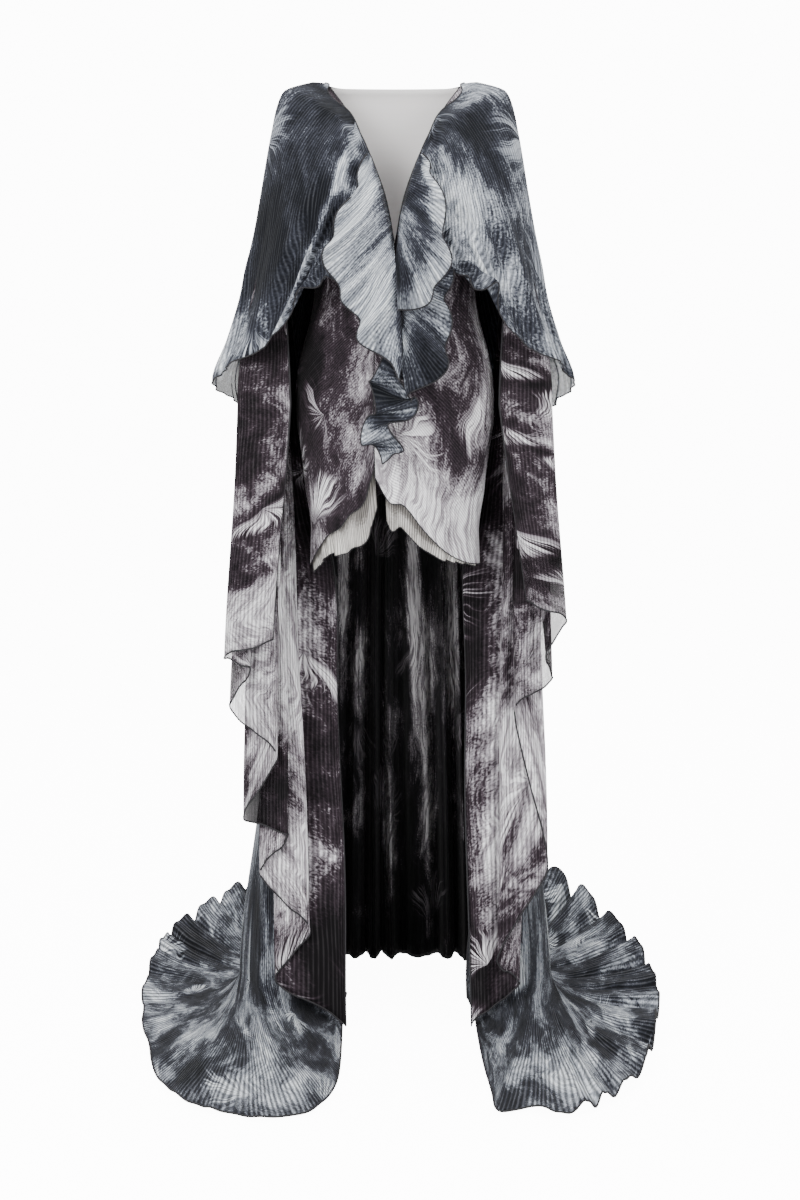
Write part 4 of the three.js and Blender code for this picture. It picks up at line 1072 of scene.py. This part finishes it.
footRing = {"x": 186, "y": 84, "radius": 42, "z": -1440}


# Length of the rim from its front end to u, in m
def rimLength(outline, u):
    steps = np.linspace(0.0, 1.0, 400)
    rimX, rimY = read(outline, "u", "x", steps), read(outline, "u", "y", steps)
    run = np.concatenate([[0.0], np.cumsum(np.hypot(np.diff(rimX), np.diff(rimY)))])
    return np.interp(u, steps, run) * mm


trainForm = {
    "topZ": -480.0, "topX": 226.0, "topY": 112.0, "seamGap": 1.7, "folds": 7, "foldDepth": 3.5,
    "frontBearing": -78.0, "backBearing": 100.0, "flutes": 14, "fineFlutes": 29, "fineShare": 0.10,
    "pull": 6, "fall": 4.5,
}


# A train: a column sewn to the back panel along u = 1, down to the foot ring, and from there a
# fan on the floor. upright is the share of the lift that stands as flutes; the rest raises the rim
def trainShape(side, outline, upright):
    footRow = 0.5  # the row at which the hanging part meets the floor part
    floorZ = -floorDrop + 1.2

    def column(u, t):
        bearing = mix(trainForm["frontBearing"], trainForm["backBearing"], u) - 85 * ease(1 - u / 0.09)
        ring = np.radians(bearing)
        radius = footRing["radius"] * (1 + 0.9 * ease((t - 0.6) / 0.4))
        footX = footRing["x"] + radius * np.cos(ring) * 0.9
        footY = footRing["y"] + radius * np.sin(ring) * 1.2
        z = mix(trainForm["topZ"], footRing["z"], t)
        seamX, seamY = backPoint(np.ones_like(z), z)[:2]
        topX = mix(trainForm["topX"], seamX + trainForm["seamGap"], u)
        topY = mix(trainForm["topY"], seamY, u) + 4 * np.sin(wave * 4 * u) * t * (1 - u)
        hold = ease(t) * (1 - u ** 4)
        fold = trainForm["foldDepth"] * np.sin(wave * trainForm["folds"] * u + 0.4) * (1 - u) * ease(u * 6)
        return mix(topX, footX, hold), mix(topY, footY, hold) + fold, z

    def shape(u, v):
        upper = np.clip(v / footRow, 0, 1)
        t = np.clip((v - footRow) / (1 - footRow), 0, 1)
        x, y, z = column(u, upper)
        lift = read(outline, "u", "lift", u)
        slip = u + 0.006 * np.sin(wave * 3.1 * u) * ease(u * 8) * ease((1 - u) * 8)
        turn = wave * trainForm["flutes"] * slip
        flute = 0.5 - 0.5 * np.cos(turn + 0.7 * np.sin(turn)) * (0.8 + 0.2 * np.sin(wave * 4.3 * u))
        flute = mix(0.55, flute, upright)
        fine = 0.5 + 0.5 * np.sin(wave * trainForm["fineFlutes"] * slip + 1.0)
        onFloor = floorZ + (footRing["z"] - floorZ) * np.exp(-trainForm["fall"] * t) + 3 * (1 - t)
        onFloor = onFloor + (lift * flute + trainForm["fineShare"] * lift * fine + 1.0 * fine) * t * t
        reach = t ** 1.25
        pulled = trainForm["pull"] * np.sin(turn) * t * t
        x = mix(x, read(outline, "u", "x", u), reach) + pulled * 0.4
        y = mix(y, read(outline, "u", "y", u), reach) + pulled * 0.6
        return side * x, y, np.where(v < footRow, z, onFloor)

    return shape


trainSetup = {
    "columns": 250, "rows": 90, "cut": (1.15, 1.6), "area": 0.64,
    "printShift": (20.0, 0.4), "wall": 0.0008,
    "hems": [("along", 1), ("across", 0)], "hemRadius": 0.0016,
    "tone": lambda u, v, z: 0.05 + 0.6 * bump(u, 0.3, 0.12) * ease((v - 0.5) / 0.3),
    "lay": lambda x, y, u, v: (0.8 * rimLength(trainOutlineLeft, u), 1.0 * v),
}
trainRightSetup = dict(
    trainSetup, printShift=(23.0, 0.9),
    lay=lambda x, y, u, v: (0.8 * rimLength(trainOutlineRight, u), 1.0 * v),
)
clothSheet("trainLeft", trainShape(-1, trainOutlineLeft, 0.45), trainSetup, trainChiffon,
           "train_left")
clothSheet("trainRight", trainShape(1, trainOutlineRight, 0.85), trainRightSetup, trainChiffon,
           "train_right")

studioSetup = {"seenGlow": 12.0, "worldLight": 0.75}
softboxes = [
    {"name": "keyLight", "power": 220,
     "place": (-2.4, -3.6, 1.6), "target": (0, 0, -0.7), "size": (2.0, 2.4)},
    {"name": "fillLight", "power": 100,
     "place": (2.6, -3.4, 1.2), "target": (0, 0, -0.8), "size": (2.4, 2.6)},
    {"name": "topLight", "power": 90,
     "place": (0, 0.4, 2.4), "target": (0, 0, -0.7), "size": (3.0, 3.0)},
]


# A paper sweep: floor, bend and wall
def studio():
    bm = bmesh.new()
    bmesh.ops.create_grid(bm, x_segments=1, y_segments=40, size=1.0)
    halfWidth, frontY, backY, bend, height = 14.0, -14.0, 14.0, 1.2, 8.0
    for vert in bm.verts:
        run = (vert.co.y + 1) / 2 * (backY - frontY + bend * math.pi / 2 + height)
        flat = backY - frontY
        if run < flat:
            place = (frontY + run, 0.0)
        elif run < flat + bend * math.pi / 2:
            turn = (run - flat) / bend
            place = (backY + bend * math.sin(turn), bend * (1 - math.cos(turn)))
        else:
            place = (backY + bend, bend + run - flat - bend * math.pi / 2)
        vert.co = (vert.co.x * halfWidth, place[0], place[1] - floorDrop * mm - 0.0005)
    mesh = bpy.data.meshes.new("sweep")
    bm.to_mesh(mesh)
    bm.free()
    mesh.polygons.foreach_set("use_smooth", [True] * len(mesh.polygons))
    paper = bpy.data.materials.new("paper")
    paper.use_nodes = True
    shader = paper.node_tree.nodes["Principled BSDF"]
    shader.inputs["Base Color"].default_value = (0.9, 0.9, 0.9, 1)
    shader.inputs["Roughness"].default_value = 0.9
    shader.inputs["Emission Color"].default_value = (1, 1, 1, 1)
    seen = paper.node_tree.nodes.new("ShaderNodeLightPath").outputs["Is Camera Ray"]
    glow = mathNode(paper.node_tree, "MULTIPLY", seen, studioSetup["seenGlow"])
    link(paper.node_tree, glow, shader.inputs["Emission Strength"])
    mesh.materials.append(paper)
    sweep = bpy.data.objects.new("sweep", mesh)
    bpy.context.scene.collection.objects.link(sweep)


def softbox(name, place, target, size, power):
    data = bpy.data.lights.new(name, "AREA")
    data.shape = "RECTANGLE"
    data.size, data.size_y = size
    data.energy = power
    light = bpy.data.objects.new(name, data)
    light.location = place
    aim = Vector(target) - Vector(place)
    light.rotation_euler = aim.to_track_quat("-Z", "Y").to_euler()
    bpy.context.scene.collection.objects.link(light)


studio()
for box in softboxes:
    softbox(**box)
world = bpy.data.worlds.new("studioLight")
bpy.context.scene.world = world
world.use_nodes = True
backdrop = world.node_tree.nodes["Background"]
backdrop.inputs["Color"].default_value = (1, 1, 1, 1)
seen = world.node_tree.nodes.new("ShaderNodeLightPath").outputs["Is Camera Ray"]
strength = mathNode(world.node_tree, "MULTIPLY", seen, studioSetup["seenGlow"])
strength = mathNode(world.node_tree, "ADD", strength, studioSetup["worldLight"])
link(world.node_tree, strength, backdrop.inputs["Strength"])

# The lens is for a frame 1200 pixels high
view = {
    "focalPixels": 2653.4, "frameHeight": 1200,
    "pitch": math.radians(6.96), "place": (0.008, -4.2, -0.3),
}
lens = bpy.data.cameras.new("camera")
lens.sensor_fit = "VERTICAL"
lens.sensor_height = 36.0
lens.lens = view["focalPixels"] / view["frameHeight"] * lens.sensor_height
camera = bpy.data.objects.new("camera", lens)
camera.location = view["place"]
camera.rotation_euler = (math.pi / 2 - view["pitch"], 0, 0)
bpy.context.scene.collection.objects.link(camera)
bpy.context.scene.camera = camera
print("studio set")
